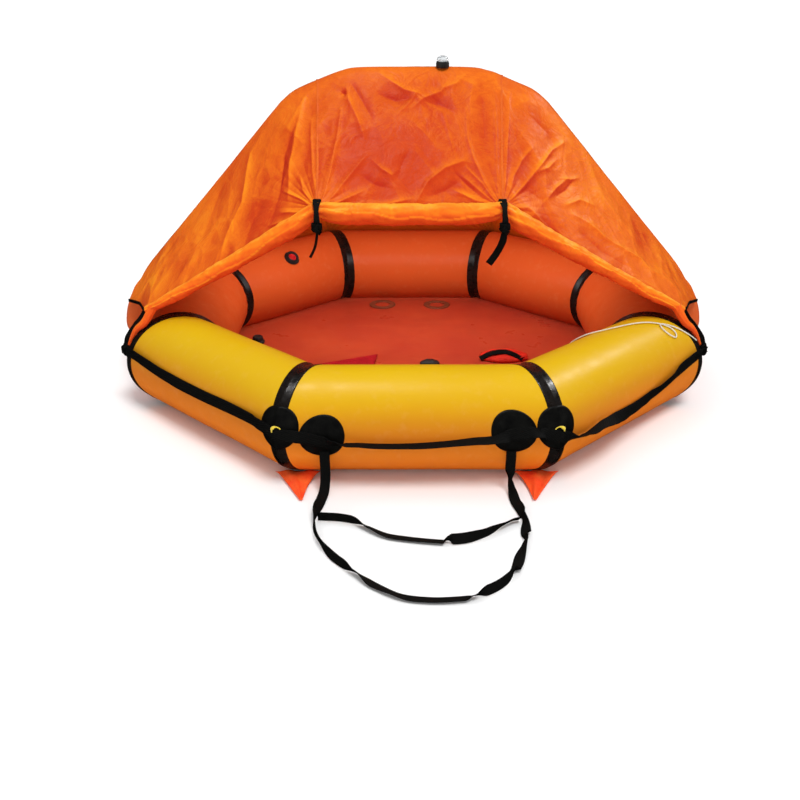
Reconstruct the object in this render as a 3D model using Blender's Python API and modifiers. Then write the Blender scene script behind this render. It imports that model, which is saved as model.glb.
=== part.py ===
"""Inflatable life raft for four people: an octagonal ring of mitred tubes with
taped seams, a fabric floor, an inflated arch with a pitched canopy whose door
is rolled up and tied, a lifeline, a boarding ladder, ballast pockets, valves
and a gas cylinder.

Metres, +Z up. The origin is on the ground under the centre of the ring, +Y
points away from the door. Run with: blender --background --python part.py
"""
import bisect
import math

import bmesh
import bpy
from mathutils import Vector

# Driving dimensions
GAP = 0.0003
SIDE = 0.65                     # centre line length of each of the eight tubes
TUBE_R = 0.150
SIDES = 8
TAPE_THICK = 0.002
TAPE_HALF_WIDTH = 0.025
TUBE_FACETS = 32
AXIS_Z = (TUBE_R + GAP + TAPE_THICK) * math.cos(math.pi / TUBE_FACETS)    # the tapes stand on z = 0
HALF_TURN = math.pi / SIDES
APOTHEM = SIDE / 2 / math.tan(HALF_TURN)
CORNER_R = SIDE / 2 / math.sin(HALF_TURN)
SKIN_R = TUBE_R + GAP + TAPE_THICK + GAP        # the lowest fabric that lies over the tapes

FLOOR_TOP = 0.028
FLOOR_THICK = 0.004

ARCH_R = 0.050
ARCH_FOOT_REACH = TUBE_R + ARCH_R + GAP
ARCH_FOOT_ANGLES = (-10, 2, 14, 26, 37, 46)     # round the side tube, degrees above its middle
ARCH_LEG = ((0.881, 0.357), (0.767, 0.484), (0.652, 0.612), (0.538, 0.740), (0.424, 0.867))
ARCH_SHOULDER = ((0.396, 0.896), (0.361, 0.922), (0.290, 0.952), (0.224, 0.976))
ARCH_CROWN = ((0.170, 0.9845), (0.0, 0.9855))
CLOTH_THICK = 0.002
CLOTH_R = ARCH_R + 0.0020

DOOR_SEAM_LEFT = -0.300
DOOR_SEAM_RIGHT = 0.264
TIE_Y = -0.375
TIE_Z = 0.672
ROLL_R = 0.027
ROLL_CORNER = Vector((0.865, -0.350, 0.330))    # where the rolled edge is lashed, right hand
HEM_FOOT_Z = 0.262
HEM_ANGLES = (52, 45, 38, 32)                   # where the cloth lies on the tube, down to its hem

WEBBING = 0.034
WEBBING_THICK = 0.0025
PATCH_R = 0.0625
PATCH_THICK = 0.003
LADDER_WEBBING = 0.028
CORNER_PATCH_ANGLE = 12.5
LADDER_PATCH_ANGLES = (4, 9)                    # left and right
LADDER_PATCH_SHIFT = 0.1255                     # from the mitre to the ladder patch

# The lifeline's way round the ring: corners passed, counted from the front left one, clockwise
# from above, and degrees above the middle of the tube
LIFELINE_FRONT = ((1.0, 19), (0.93, 18), (0.705, 11.5), (0.46, 10), (0.23, 11.5), (0.09, 11),
                  (0.0, 8), (-0.09, 5), (-0.17, 0.7), (-0.25, -0.5), (-0.34, -2.8), (-0.44, -3.2),
                  (-0.55, -2), (-0.75, 3.8), (-0.83, 8), (-0.91, 10), (-1.0, 5), (-1.08, -1),
                  (-1.166, -5), (-1.25, -3), (-1.45, -7), (-1.64, -1), (-1.8, 9.4), (-1.93, 16), (-2.0, 18))
LIFELINE_BACK = ((1.03, 18), (1.15, 6), (1.32, -18), (1.5, -28), (1.68, -18), (1.85, -4), (2.0, 0),
                 (2.25, -9), (2.5, -13), (2.75, -9), (3.0, 0), (3.25, -3), (3.5, -4), (3.75, -3),
                 (4.0, 0), (4.25, -9), (4.5, -13), (4.75, -9), (5.0, 0), (5.15, -4), (5.32, -18),
                 (5.5, -28), (5.68, -18), (5.85, 6), (5.97, 17))
LIFELINE_R = TUBE_R + 0.0105

# The ladder lies on the ground in front: one loop for the sides and the lower rung, one upper rung
LADDER_SIDE = ((0.2545, -0.9440, 0.122), (0.2545, -0.9455, 0.100), (0.2535, -0.9480, 0.060),
               (0.2550, -0.9550, 0.026), (0.2575, -0.9720, 0.007), (0.2620, -1.000, 0.002),
               (0.2690, -1.050, 0.002), (0.2740, -1.100, 0.002))
LADDER_LOOP = ((0.274, -1.150), (0.267, -1.210), (0.246, -1.275), (0.230, -1.330), (0.208, -1.378),
               (0.172, -1.418), (0.128, -1.443), (0.076, -1.452), (0.019, -1.454), (-0.048, -1.441),
               (-0.104, -1.402), (-0.150, -1.358), (-0.195, -1.315), (-0.232, -1.262), (-0.258, -1.200),
               (-0.270, -1.150))
LADDER_RUNG = ((0.247, -1.116), (0.223, -1.138), (0.190, -1.170), (0.150, -1.197), (0.090, -1.214),
               (0.020, -1.207), (-0.040, -1.195), (-0.090, -1.179), (-0.150, -1.135), (-0.200, -1.114),
               (-0.245, -1.108))
LADDER_Z = 0.002

POCKET_X = 0.340                                # ballast pockets, one at each front and back corner
POCKET_ANGLE = -64                              # where it is bonded under the tube
POCKET_REACH = 0.990
POCKET_WIDTH = 0.132

CYLINDER_R = 0.048
CYLINDER_LENGTH = 0.34
BAND_THICK = 0.003
BAND_WIDTH = 0.030
BAND_SPACING = 0.16
HEAD_LENGTH = 0.042
HOSE_R = 0.006
HOSE_X = 0.300
HOSE_ANGLE = -18                                # degrees above the tube's middle, where it goes in
VALVE_ANGLE = 131
VALVE_R = 0.027
FLOOR_VALVE = (-0.590, 0.149)
POUCH = ((-0.130, 0.012), (-0.335, -0.082), (-0.365, -0.290), (-0.165, -0.315))
POUCH_THICK = 0.018
LANYARD_R = 0.002

# Colours, as linear red, green, blue
YELLOW = (0.80, 0.50, 0.015)
ORANGE = (0.80, 0.13, 0.02)
CANOPY_ORANGE = (0.82, 0.20, 0.015)
FLOOR_ORANGE = (0.60, 0.08, 0.02)
BLACK = (0.012, 0.012, 0.012)
RED = (0.70, 0.04, 0.02)
CRIMSON = (0.35, 0.01, 0.015)
WHITE = (0.75, 0.75, 0.70)
CLEAR = (0.70, 0.75, 0.78)
GREY = (0.30, 0.31, 0.32)

for old in list(bpy.data.objects):
    bpy.data.objects.remove(old, do_unlink=True)

raft = bpy.data.collections.new("life_raft")
bpy.context.scene.collection.children.link(raft)


def paint(obj, colour, roughness, metallic=0.0):
    mat = bpy.data.materials.new(obj.name + "_finish")
    mat.use_nodes = True
    shader = mat.node_tree.nodes["Principled BSDF"]
    shader.inputs["Base Color"].default_value = (*colour, 1.0)
    shader.inputs["Roughness"].default_value = roughness
    shader.inputs["Metallic"].default_value = metallic
    obj.data.materials.append(mat)


def add_object(name, data, colour, roughness, metallic=0.0):
    obj = bpy.data.objects.new(name, data)
    raft.objects.link(obj)
    paint(obj, colour, roughness, metallic)
    return obj


def add_mesh(name, bm, colour, roughness, metallic=0.0, sharp=40):
    bmesh.ops.recalc_face_normals(bm, faces=bm.faces)
    mesh = bpy.data.meshes.new(name)
    bm.to_mesh(mesh)
    bm.free()
    mesh.shade_smooth()
    mesh.set_sharp_from_angle(angle=math.radians(sharp))
    return add_object(name, mesh, colour, roughness, metallic)


def loft(sections, closed=True, cap=True, around=False):
    """Faces between rows of points: closed rows, capped ends or rows joined all round."""
    bm = bmesh.new()
    rows = [[bm.verts.new(p) for p in section] for section in sections]
    count = len(sections[0])
    pairs = list(zip(rows, rows[1:] + rows[:1] if around else rows[1:]))
    for low, high in pairs:
        for i in range(count if closed else count - 1):
            j = (i + 1) % count
            bm.faces.new((low[i], low[j], high[j], high[i]))
    if cap and not around:
        bm.faces.new(rows[0])
        bm.faces.new(rows[-1])
    return bm


def corner(index):
    """Ring corner on the ground plan, counted from the front left one, clockwise from above."""
    angle = math.radians(-90) - HALF_TURN - index * 2 * HALF_TURN
    return Vector((CORNER_R * math.cos(angle), CORNER_R * math.sin(angle), AXIS_Z))


def side_axes(index):
    """Direction along the tube that follows a corner, and its outward direction."""
    along = (corner(index + 1) - corner(index)).normalized()
    outward = (corner(index + 1) + corner(index)) / 2
    outward.z = 0
    return along, outward.normalized()


def ring_point(index, distance, angle, radius):
    """A point on a tube, a signed distance past the mitre at a corner, at an angle above the
    tube's middle on the outside, in degrees."""
    along, outward = side_axes(index if distance >= 0 else index - 1)
    turn = math.radians(angle)
    across = outward * math.cos(turn) + Vector((0, 0, math.sin(turn)))
    mitre = radius * math.cos(turn) * math.tan(HALF_TURN)
    shift = distance - mitre if distance >= 0 else distance + mitre
    return corner(index) + across * radius + along * shift


def ring_section(index, distance, radius):
    return [ring_point(index, distance, 360 * (k + 0.5) / TUBE_FACETS, radius) for k in range(TUBE_FACETS)]


def side_direction(index, angle):
    along, outward = side_axes(index)
    turn = math.radians(angle)
    return outward * math.cos(turn) + Vector((0, 0, math.sin(turn)))


# Ring of tubes: corners 0 to 7 are front left, left front, left back, back left,
# back right, right back, right front and front right
SIDE_NAMES = ("front_left", "left", "back_left", "back", "back_right", "right", "front_right", "front")
CORNER_NAMES = ("front_left", "left_front", "left_back", "back_left",
                "back_right", "right_back", "right_front", "front_right")
YELLOW_SIDES = ("front_left", "front", "front_right")

for i, name in enumerate(SIDE_NAMES):
    tube = loft([ring_section(i, GAP / 2, TUBE_R), ring_section(i + 1, -GAP / 2, TUBE_R)])
    add_mesh("tube_" + name, tube, YELLOW if name in YELLOW_SIDES else ORANGE, 0.35)

for i, name in enumerate(CORNER_NAMES):
    inner = TUBE_R + GAP
    outer = inner + TAPE_THICK
    width = TAPE_HALF_WIDTH
    tape = loft([ring_section(i, -width, inner), ring_section(i, -width, outer), ring_section(i, 0, outer),
                 ring_section(i, width, outer), ring_section(i, width, inner), ring_section(i, 0, inner)],
                around=True)
    add_mesh("seam_tape_" + name, tape, BLACK, 0.4)


def plate(name, points, bottom, thickness, colour, roughness):
    """A flat outline, extruded upwards from bottom."""
    curve = bpy.data.curves.new(name, "CURVE")
    curve.dimensions = "2D"
    curve.fill_mode = "BOTH"
    curve.extrude = thickness / 2
    spline = curve.splines.new("POLY")
    spline.points.add(len(points) - 1)
    for point, (x, y) in zip(spline.points, points):
        point.co = (x, y, 0, 1)
    spline.use_cyclic_u = True
    obj = add_object(name, curve, colour, roughness)
    obj.location.z = bottom + thickness / 2
    return obj


def floor_outline():
    """The octagon inside the tubes, its corners cut back to clear the seam tapes."""
    facet = math.cos(math.pi / TUBE_FACETS)
    reach = math.sqrt(TUBE_R ** 2 - (AXIS_Z - FLOOR_TOP) ** 2) * 1.004
    edge = APOTHEM - reach - GAP * facet
    cut = TAPE_HALF_WIDTH + (TAPE_THICK + 3 * GAP) / math.sin(HALF_TURN) + 0.002
    half = edge * math.tan(HALF_TURN) - cut
    points = []
    for i in range(SIDES):
        along, outward = side_axes(i)
        for end in (-half, half):
            spot = outward * edge + along * end
            points.append((spot.x, spot.y))
    return points


plate("raft_floor", floor_outline(), FLOOR_TOP - FLOOR_THICK, FLOOR_THICK, FLOOR_ORANGE, 0.4)

# Inflated arch across the middle, its feet bonded to the outside of the side tubes


def arch_half():
    """Centre line of the right half, from the crown down to the foot, as (x, z)."""
    points = list(reversed(ARCH_LEG + ARCH_SHOULDER + ARCH_CROWN))
    for angle in reversed(ARCH_FOOT_ANGLES):
        turn = math.radians(angle)
        points.append((APOTHEM + ARCH_FOOT_REACH * 1.003 * math.cos(turn),
                       AXIS_Z + ARCH_FOOT_REACH * 1.003 * math.sin(turn)))
    return points


HALF_PATH = [Vector((x, 0, z)) for x, z in arch_half()]
ARCH_PATH = [Vector((-p.x, 0, p.z)) for p in reversed(HALF_PATH[1:])] + HALF_PATH


def tube_curve(name, points, radius, colour, roughness, scales=None, resolution=2):
    curve = bpy.data.curves.new(name, "CURVE")
    curve.dimensions = "3D"
    curve.bevel_depth = radius
    curve.bevel_resolution = resolution
    curve.use_fill_caps = True
    spline = curve.splines.new("POLY")
    spline.points.add(len(points) - 1)
    for k, (point, place) in enumerate(zip(spline.points, points)):
        point.co = (*place, 1)
        point.radius = scales[k] if scales else 1.0
    return add_object(name, curve, colour, roughness)


tube_curve("arch_tube", ARCH_PATH, ARCH_R, ORANGE, 0.35, resolution=4)

# Canopy: cloth pitched over the arch, each panel between its own seams


class ArchStations:
    """Places along the arch, measured from the left foot to the right one, 0 to 1."""

    def __init__(self, points):
        self.points = points
        self.reach = [0.0]
        for a, b in zip(points, points[1:]):
            self.reach.append(self.reach[-1] + (b - a).length)

    def at(self, share):
        target = share * self.reach[-1]
        k = min(max(bisect.bisect_right(self.reach, target) - 1, 0), len(self.points) - 2)
        a, b = self.points[k], self.points[k + 1]
        place = a.lerp(b, (target - self.reach[k]) / (self.reach[k + 1] - self.reach[k]))
        before = self.points[max(k - 1, 0)]
        after = self.points[min(k + 2, len(self.points) - 1)]
        along = (after - before).normalized()
        return place, Vector((-along.z, 0, along.x))

    def shares(self, start, end, others):
        """The two ends, and between them the bends of the arch and the other places given."""
        bends = sorted([reach / self.reach[-1] for reach in self.reach] + others)
        return [start] + [share for share in bends if start + 0.004 < share < end - 0.004] + [end]

    def share_where(self, test):
        """The first share of the path, in small steps, where the test on a point holds."""
        steps = 800
        for k in range(steps + 1):
            if test(self.at(k / steps)[0]):
                return k / steps
        return 1.0


arch = ArchStations(ARCH_PATH)
LEFT_FOOT = arch.share_where(lambda p: p.z > HEM_FOOT_Z)
RIGHT_FOOT = 1 - LEFT_FOOT
LEFT_KNEE = arch.share_where(lambda p: p.x > -0.66)
RIGHT_KNEE = 1 - LEFT_KNEE
LEFT_SHOULDER = arch.share_where(lambda p: p.x > DOOR_SEAM_LEFT)
RIGHT_SHOULDER = arch.share_where(lambda p: p.x > DOOR_SEAM_RIGHT)


LEFT_CORNER = LEFT_FOOT + 0.42 * (LEFT_KNEE - LEFT_FOOT)
LEFT_HEM = LEFT_FOOT + 0.2 * (LEFT_KNEE - LEFT_FOOT)
CLOTH_BENDS = [LEFT_HEM, LEFT_CORNER, LEFT_KNEE, RIGHT_KNEE, 1 - LEFT_CORNER, 1 - LEFT_HEM]


def between(value, knots, places):
    """Straight interpolation of places at rising knots."""
    for (a, b), (p, q) in zip(zip(knots, knots[1:]), zip(places, places[1:])):
        if value <= b:
            return p.lerp(q, min(max((value - a) / (b - a), 0.0), 1.0))
    return places[-1]


def mirrored(point):
    return Vector((-point.x, point.y, point.z))


TIE_LEFT = Vector((DOOR_SEAM_LEFT, TIE_Y, TIE_Z))
TIE_RIGHT = Vector((DOOR_SEAM_RIGHT, TIE_Y, TIE_Z))
FOOT_FRONT = Vector((APOTHEM + 0.218, -CLOTH_R, HEM_FOOT_Z))
HEM_MIDDLE = Vector((0.930, -0.190, 0.298))


def front_edge(share):
    """Lower edge of the front cloth: hem, rolled edge, door roll, rolled edge, hem."""
    knots = [LEFT_FOOT, LEFT_HEM, LEFT_CORNER, LEFT_SHOULDER,
             RIGHT_SHOULDER, 1 - LEFT_CORNER, 1 - LEFT_HEM, RIGHT_FOOT]
    places = [mirrored(FOOT_FRONT), mirrored(HEM_MIDDLE), mirrored(ROLL_CORNER), TIE_LEFT,
              TIE_RIGHT, ROLL_CORNER, HEM_MIDDLE, FOOT_FRONT]
    return between(share, knots, places)


def back_hem(share, angle):
    """A line on the outside of the ring, round the back from one arch foot to the other."""
    foot = Vector((APOTHEM + 0.218, CLOTH_R, HEM_FOOT_Z))
    beside = [ring_point(k, 0, angle, SKIN_R + 0.001) for k in (2, 3, 4, 5)]
    knots = [LEFT_FOOT, LEFT_KNEE, LEFT_SHOULDER, RIGHT_SHOULDER, RIGHT_KNEE, RIGHT_FOOT]
    return between(share, knots, [mirrored(foot)] + beside + [foot])


def wrap_point(share, turn, radius=CLOTH_R):
    """A point on the cloth over the arch, turned towards the front (negative) or the back."""
    place, outward = arch.at(share)
    return place + (outward * math.cos(turn) + Vector((0, math.sin(turn), 0))) * radius


def tangent_turn(share, target):
    """How far round the arch the cloth lies before it leaves for the target."""
    place, outward = arch.at(share)
    offset = target - place
    rise, reach = offset.dot(outward), abs(offset.y)
    distance = math.hypot(rise, reach)
    return max(math.atan2(reach, rise) - math.acos(min(CLOTH_R / distance, 1.0)), 0.1)


CLOTH_ROWS = 5
SEAM_HALF_GAP = 0.0015


def cloth_rows(shares, side):
    """Rows of points down the cloth on the front (-1) or back (1) of the arch."""
    columns = []
    for share in shares:
        if side < 0:
            ends = [front_edge(share)]
        else:
            ends = [back_hem(share, angle) for angle in HEM_ANGLES]
        turn = tangent_turn(share, ends[0])
        leave = wrap_point(share, side * turn)
        start = wrap_point(share, side * 0.02)
        column = [start] + [wrap_point(share, side * turn * k / 3) for k in (1, 2)]
        column += [leave.lerp(ends[0], k / CLOTH_ROWS) for k in range(CLOTH_ROWS)]
        columns.append(column + ends)
    return columns


def panel(name, start, end, side):
    bm = loft(cloth_rows(arch.shares(start, end, CLOTH_BENDS), side), closed=False, cap=False)
    bmesh.ops.recalc_face_normals(bm, faces=bm.faces)
    middle = sum((f.calc_center_median() for f in bm.faces), Vector()) / len(bm.faces)
    facing = sum((f.normal for f in bm.faces), Vector())
    if facing.dot(middle - Vector((0, 0, 0.2))) < 0:
        bmesh.ops.reverse_faces(bm, faces=bm.faces)
    mesh = bpy.data.meshes.new(name)
    bm.to_mesh(mesh)
    bm.free()
    mesh.shade_smooth()
    obj = add_object(name, mesh, CANOPY_ORANGE, 0.5)
    shell = obj.modifiers.new("cloth", "SOLIDIFY")
    shell.thickness = CLOTH_THICK
    shell.offset = 1.0
    return obj


EDGE = SEAM_HALF_GAP / arch.reach[-1]
panel("canopy_front", LEFT_SHOULDER + EDGE, RIGHT_SHOULDER - EDGE, -1)
panel("canopy_front_left", LEFT_FOOT, LEFT_SHOULDER - EDGE, -1)
panel("canopy_front_right", RIGHT_SHOULDER + EDGE, RIGHT_FOOT, -1)
panel("canopy_back", LEFT_SHOULDER + EDGE, RIGHT_SHOULDER - EDGE, 1)
panel("canopy_back_left", LEFT_FOOT, LEFT_SHOULDER - EDGE, 1)
panel("canopy_back_right", RIGHT_SHOULDER + EDGE, RIGHT_FOOT, 1)

# Rolled-up door and edges, lashed at the corners and tied at the door seams
ROLL_DROP = Vector((0, -0.66, -0.75))           # from the cloth's edge to the roll, at a tie
CORNER_DROP = Vector((0, -0.86, -0.51))
ROLL_CLEAR = CLOTH_THICK + 0.003


def roll(name, start, end, bulge, thin_end, end_drop):
    """A rolled edge that hangs just below the cloth, thin where it is lashed."""
    steps = 14
    points = []
    scales = []
    for k in range(steps + 1):
        t = k / steps
        scale = thin_end + (1 - thin_end) * (1 - t) if thin_end < 1 else 1.0
        scale *= 1 - 0.35 * math.exp(-(t * steps) ** 2) - 0.35 * math.exp(-((1 - t) * steps) ** 2)
        place = start.lerp(end, t) + ROLL_DROP.lerp(end_drop, t) * (ROLL_R * scale + ROLL_CLEAR)
        place.z -= bulge * 4 * t * (1 - t)
        points.append(place)
        scales.append(scale)
    return tube_curve(name, points, ROLL_R, CANOPY_ORANGE, 0.5, scales, resolution=3)


ROLL_INSET = 0.010
ROLL_STOP = 0.95                                # share of the way to the corner
inset = Vector((ROLL_INSET, 0, 0))
roll("door_roll", TIE_LEFT + inset, TIE_RIGHT - inset, 0.004, 1.0, ROLL_DROP)
for hand, tie_place, edge_corner in (("left", TIE_LEFT - inset, mirrored(ROLL_CORNER)),
                                     ("right", TIE_RIGHT + inset, ROLL_CORNER)):
    roll("edge_roll_" + hand, tie_place, tie_place.lerp(edge_corner, ROLL_STOP), 0.006, 0.45, CORNER_DROP)


def strap(name, points, across, widths, thicks, colour=BLACK):
    """A flat strap of changing width and thickness; across gives its width direction."""
    sections = []
    for k, place in enumerate(points):
        before = points[max(k - 1, 0)]
        after = points[min(k + 1, len(points) - 1)]
        along = (after - before).normalized()
        side = across[k] - along * across[k].dot(along)
        side = side.normalized() * widths[k] / 2
        face = along.cross(side).normalized() * thicks[k] / 2
        sections.append([place + side + face, place - side + face, place - side - face, place + side - face])
    return add_mesh(name, loft(sections), colour, 0.7, sharp=50)


def tie(name, top, tail_end, tail_width):
    """Webbing tie: sewn on the cloth, knotted under the roll, with a loose tail."""
    ahead = Vector((0, -0.66, 0.60))
    down = Vector((0, -0.66, -0.75))
    lift = CLOTH_THICK + 0.003
    path = [top - down * 0.030 + ahead * lift,
            top - down * 0.008 + ahead * lift,
            top + Vector((0.002, -0.058, -0.006)),
            top + Vector((0.003, -0.066, -0.038)),
            top + Vector((0.003, -0.062, -0.058)),
            top + Vector((0.003, -0.058, -0.074))]
    widths = [0.026, 0.022, 0.016, 0.030, 0.032, tail_width]
    thicks = [0.002, 0.002, 0.004, 0.014, 0.016, 0.003]
    start = path[-1]
    for k in range(1, 6):
        share = k / 5
        place = start.lerp(tail_end, share)
        place.x += 0.004 * math.sin(math.pi * share)
        path.append(place)
        widths.append(tail_width)
        thicks.append(0.0025)
    return strap(name, path, [Vector((1, 0, 0))] * len(path), widths, thicks)


tie("tie_left", TIE_LEFT, Vector((-0.322, -0.425, 0.520)), 0.008)
tie("tie_right", TIE_RIGHT, Vector((0.224, -0.425, 0.500)), 0.022)

# Position light on the ridge
LIGHT = Vector((0.088, -0.012, ARCH_CROWN[1][1] + CLOTH_R + CLOTH_THICK + GAP))


def turned(name, profile, place, colour, roughness, steps=20):
    """A turned piece: its profile runs down the outer side, as (radius, height)."""
    mesh = bpy.data.meshes.new(name)
    mesh.from_pydata([(r, 0, z) for r, z in profile], [(k, k + 1) for k in range(len(profile) - 1)], [])
    obj = add_object(name, mesh, colour, roughness)
    obj.location = place
    spin = obj.modifiers.new("turn", "SCREW")
    spin.steps = steps
    spin.render_steps = steps
    spin.use_merge_vertices = True
    spin.merge_threshold = 0.0001
    return obj


turned("light_base", [(0, 0.024), (0.019, 0.024), (0.021, 0.020), (0.021, 0.004), (0.018, 0), (0, 0)],
       LIGHT, BLACK, 0.5)
turned("light_lens", [(0, 0.020), (0.010, 0.019), (0.016, 0.015), (0.0185, 0.008), (0.0185, 0), (0, 0)],
       LIGHT + Vector((0, 0, 0.024 + GAP)), CLEAR, 0.1)

# Round patches that hold the lifeline and the ladder


def patch(name, index, distance, angle, base, radius=PATCH_R):
    """A round patch laid on a tube, centred a distance past the mitre at a corner."""
    rings = 2
    spokes = 20
    bm = bmesh.new()
    centre = bm.verts.new(ring_point(index, distance, angle, base))
    rows = []
    for ring in range(1, rings + 1):
        reach = radius * ring / rings
        row = []
        for k in range(spokes):
            turn = 2 * math.pi * k / spokes
            lift = math.degrees(reach * math.sin(turn) / base)
            spot = distance + reach * math.cos(turn)
            row.append(bm.verts.new(ring_point(index, spot, angle + lift, base)))
        rows.append(row)
    for k in range(spokes):
        bm.faces.new((centre, rows[0][k], rows[0][(k + 1) % spokes]))
    for low, high in zip(rows, rows[1:]):
        for k in range(spokes):
            j = (k + 1) % spokes
            bm.faces.new((low[k], high[k], high[j], low[j]))
    bmesh.ops.recalc_face_normals(bm, faces=bm.faces)
    outward = ring_point(index, distance, angle, 1) - corner(index)
    if sum((f.normal for f in bm.faces), Vector()).dot(outward) < 0:
        bmesh.ops.reverse_faces(bm, faces=bm.faces)
    mesh = bpy.data.meshes.new(name)
    bm.to_mesh(mesh)
    bm.free()
    mesh.shade_smooth()
    obj = add_object(name, mesh, BLACK, 0.6)
    shell = obj.modifiers.new("rubber", "SOLIDIFY")
    shell.thickness = PATCH_THICK
    shell.offset = 1.0


PATCH_BASE = SKIN_R + 0.0016
patch("corner_patch_front_left", 0, 0, CORNER_PATCH_ANGLE, PATCH_BASE)
patch("corner_patch_front_right", 7, 0, CORNER_PATCH_ANGLE, PATCH_BASE)
for i, name in ((2, "left_back"), (3, "back_left"), (4, "back_right"), (5, "right_back")):
    patch("corner_patch_" + name, i, 0, 0, PATCH_BASE, 0.045)
for hand, index, shift, angle in (("left", 0, -LADDER_PATCH_SHIFT, LADDER_PATCH_ANGLES[0]),
                                  ("right", 7, LADDER_PATCH_SHIFT, LADDER_PATCH_ANGLES[1])):
    patch("ladder_patch_" + hand, index, shift, angle, PATCH_BASE)


def ring_at(turns, angle, radius):
    """A point round the ring: whole turns are corners, parts of one lie along the tube between."""
    first = math.floor(turns)
    share = turns - first
    length = SIDE + 2 * radius * math.cos(math.radians(angle)) * math.tan(HALF_TURN)
    if share <= 0.5:
        return ring_point(first, share * length, angle, radius)
    return ring_point(first + 1, -(1 - share) * length, angle, radius)


def ring_across(turns, angle, radius):
    """The upward direction along the tube's skin at a point round the ring."""
    return (ring_at(turns, angle + 1, radius) - ring_at(turns, angle - 1, radius)).normalized()


def curve_through(places, steps):
    """A Catmull-Rom curve through places, which are tuples of numbers."""
    points = [Vector(place) for place in places]
    padded = [2 * points[0] - points[1]] + points + [2 * points[-1] - points[-2]]
    result = []
    for a, b, c, d in zip(padded, padded[1:], padded[2:], padded[3:]):
        for k in range(steps):
            t = k / steps
            result.append(0.5 * (2 * b + (c - a) * t + (2 * a - 5 * b + 4 * c - d) * t ** 2
                                 + (3 * b - a - 3 * c + d) * t ** 3))
    return result + [points[-1]]


def lifeline(name, route):
    stations = curve_through(route, 2)
    points = [ring_at(turns, angle, LIFELINE_R) for turns, angle in stations]
    across = [ring_across(turns, angle, LIFELINE_R) for turns, angle in stations]
    count = len(points)
    strap(name, points, across, [WEBBING] * count, [WEBBING_THICK] * count)


lifeline("lifeline_front", LIFELINE_FRONT)
lifeline("lifeline_back", LIFELINE_BACK)


def lashing(name, turns, cloth_corner):
    """Webbing from the canopy's corner down to its knot on the lifeline."""
    shape = ((54, 0.174, 0.012, 0.003), (42, 0.171, 0.014, 0.004), (32, 0.172, 0.020, 0.008),
             (25, 0.175, 0.036, 0.022), (18, 0.175, 0.040, 0.024), (11, 0.175, 0.032, 0.020),
             (4, 0.168, 0.020, 0.006), (-6, 0.166, 0.018, 0.003))
    hem = cloth_corner.copy()
    hem.z -= 0.012
    points = [hem] + [ring_at(turns, angle, radius) for angle, radius, _, _ in shape]
    along = side_axes(round(turns))[0]
    across = [(along + side_axes(round(turns) - 1)[0]).normalized()] * len(points)
    widths = [0.012] + [width for _, _, width, _ in shape]
    thicks = [0.003] + [thick for _, _, _, thick in shape]
    strap(name, points, across, widths, thicks)


lashing("lashing_left", 1, mirrored(ROLL_CORNER))
lashing("lashing_right", 6, ROLL_CORNER)


def ladder_strap(name, places, steps):
    points = curve_through(places, steps)
    for point in points:
        point.z = max(point.z, LADDER_Z)
    across = []
    for k in range(len(points)):
        along = points[min(k + 1, len(points) - 1)] - points[max(k - 1, 0)]
        steep = abs(along.z) > 0.5 * along.length
        direction = Vector((-along.y, along.x, 0))
        across.append(Vector((math.copysign(1, direction.x), 0, 0)) if steep else direction)
    count = len(points)
    strap(name, points, across, [LADDER_WEBBING] * count, [WEBBING_THICK] * count)


left_side = [(-x, y, z) for x, y, z in reversed(LADDER_SIDE)]
ladder_strap("ladder_loop", list(LADDER_SIDE) + [(x, y, LADDER_Z) for x, y in LADDER_LOOP] + left_side, 2)
ladder_strap("ladder_upper_rung", [(x, y, LADDER_Z) for x, y in LADDER_RUNG], 2)

# Ballast pockets: flat bags bonded under the tube at the front and back corners


def pocket(name, hand, end):
    """A limp triangular bag from its bonded edge down to the ground and out to its tip."""
    turn = math.radians(POCKET_ANGLE)
    bond = Vector((0, APOTHEM + SKIN_R * math.cos(turn) + 0.003, AXIS_Z + SKIN_R * math.sin(turn) - 0.002))
    rows = []
    for share, height, thick in ((0.0, bond.z, 0.0010), (0.35, 0.0045, 0.0050), (0.75, 0.0035, 0.0050),
                                 (1.0, 0.0016, 0.0015)):
        half = POCKET_WIDTH / 2 * (1 - 0.88 * share)
        y = bond.y + (POCKET_REACH - bond.y) * share
        rows.append([Vector((hand * (POCKET_X + x), end * y, height + lift))
                     for x, lift in ((-half, 0), (0, thick / 2), (half, 0), (0, -thick / 2))])
    add_mesh(name, loft(rows), RED, 0.5)


for name, hand, end in (("front_left", -1, -1), ("front_right", 1, -1),
                        ("back_left", -1, 1), ("back_right", 1, 1)):
    pocket("ballast_pocket_" + name, hand, end)

# Valves


def aim(obj, direction):
    obj.rotation_mode = "QUATERNION"
    obj.rotation_quaternion = direction.to_track_quat("Z", "Y")


valve_out = side_direction(2, VALVE_ANGLE)
middle = (corner(2) + corner(3)) / 2
valve_profile = [(0, 0.012), (VALVE_R * 0.5, 0.012), (VALVE_R * 0.62, 0.007),
                 (VALVE_R * 0.8, 0.009), (VALVE_R, 0.005), (VALVE_R, 0), (0, 0)]
valve = turned("tube_valve", valve_profile, middle + valve_out * (TUBE_R + GAP), BLACK, 0.4)
aim(valve, valve_out)
floor_valve_profile = [(0, 0.026), (0.016, 0.026), (0.019, 0.022), (0.019, 0.012),
                       (0.025, 0.010), (0.025, 0), (0, 0)]
turned("floor_valve", floor_valve_profile, Vector((*FLOOR_VALVE, FLOOR_TOP + GAP)), BLACK, 0.4)

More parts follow.
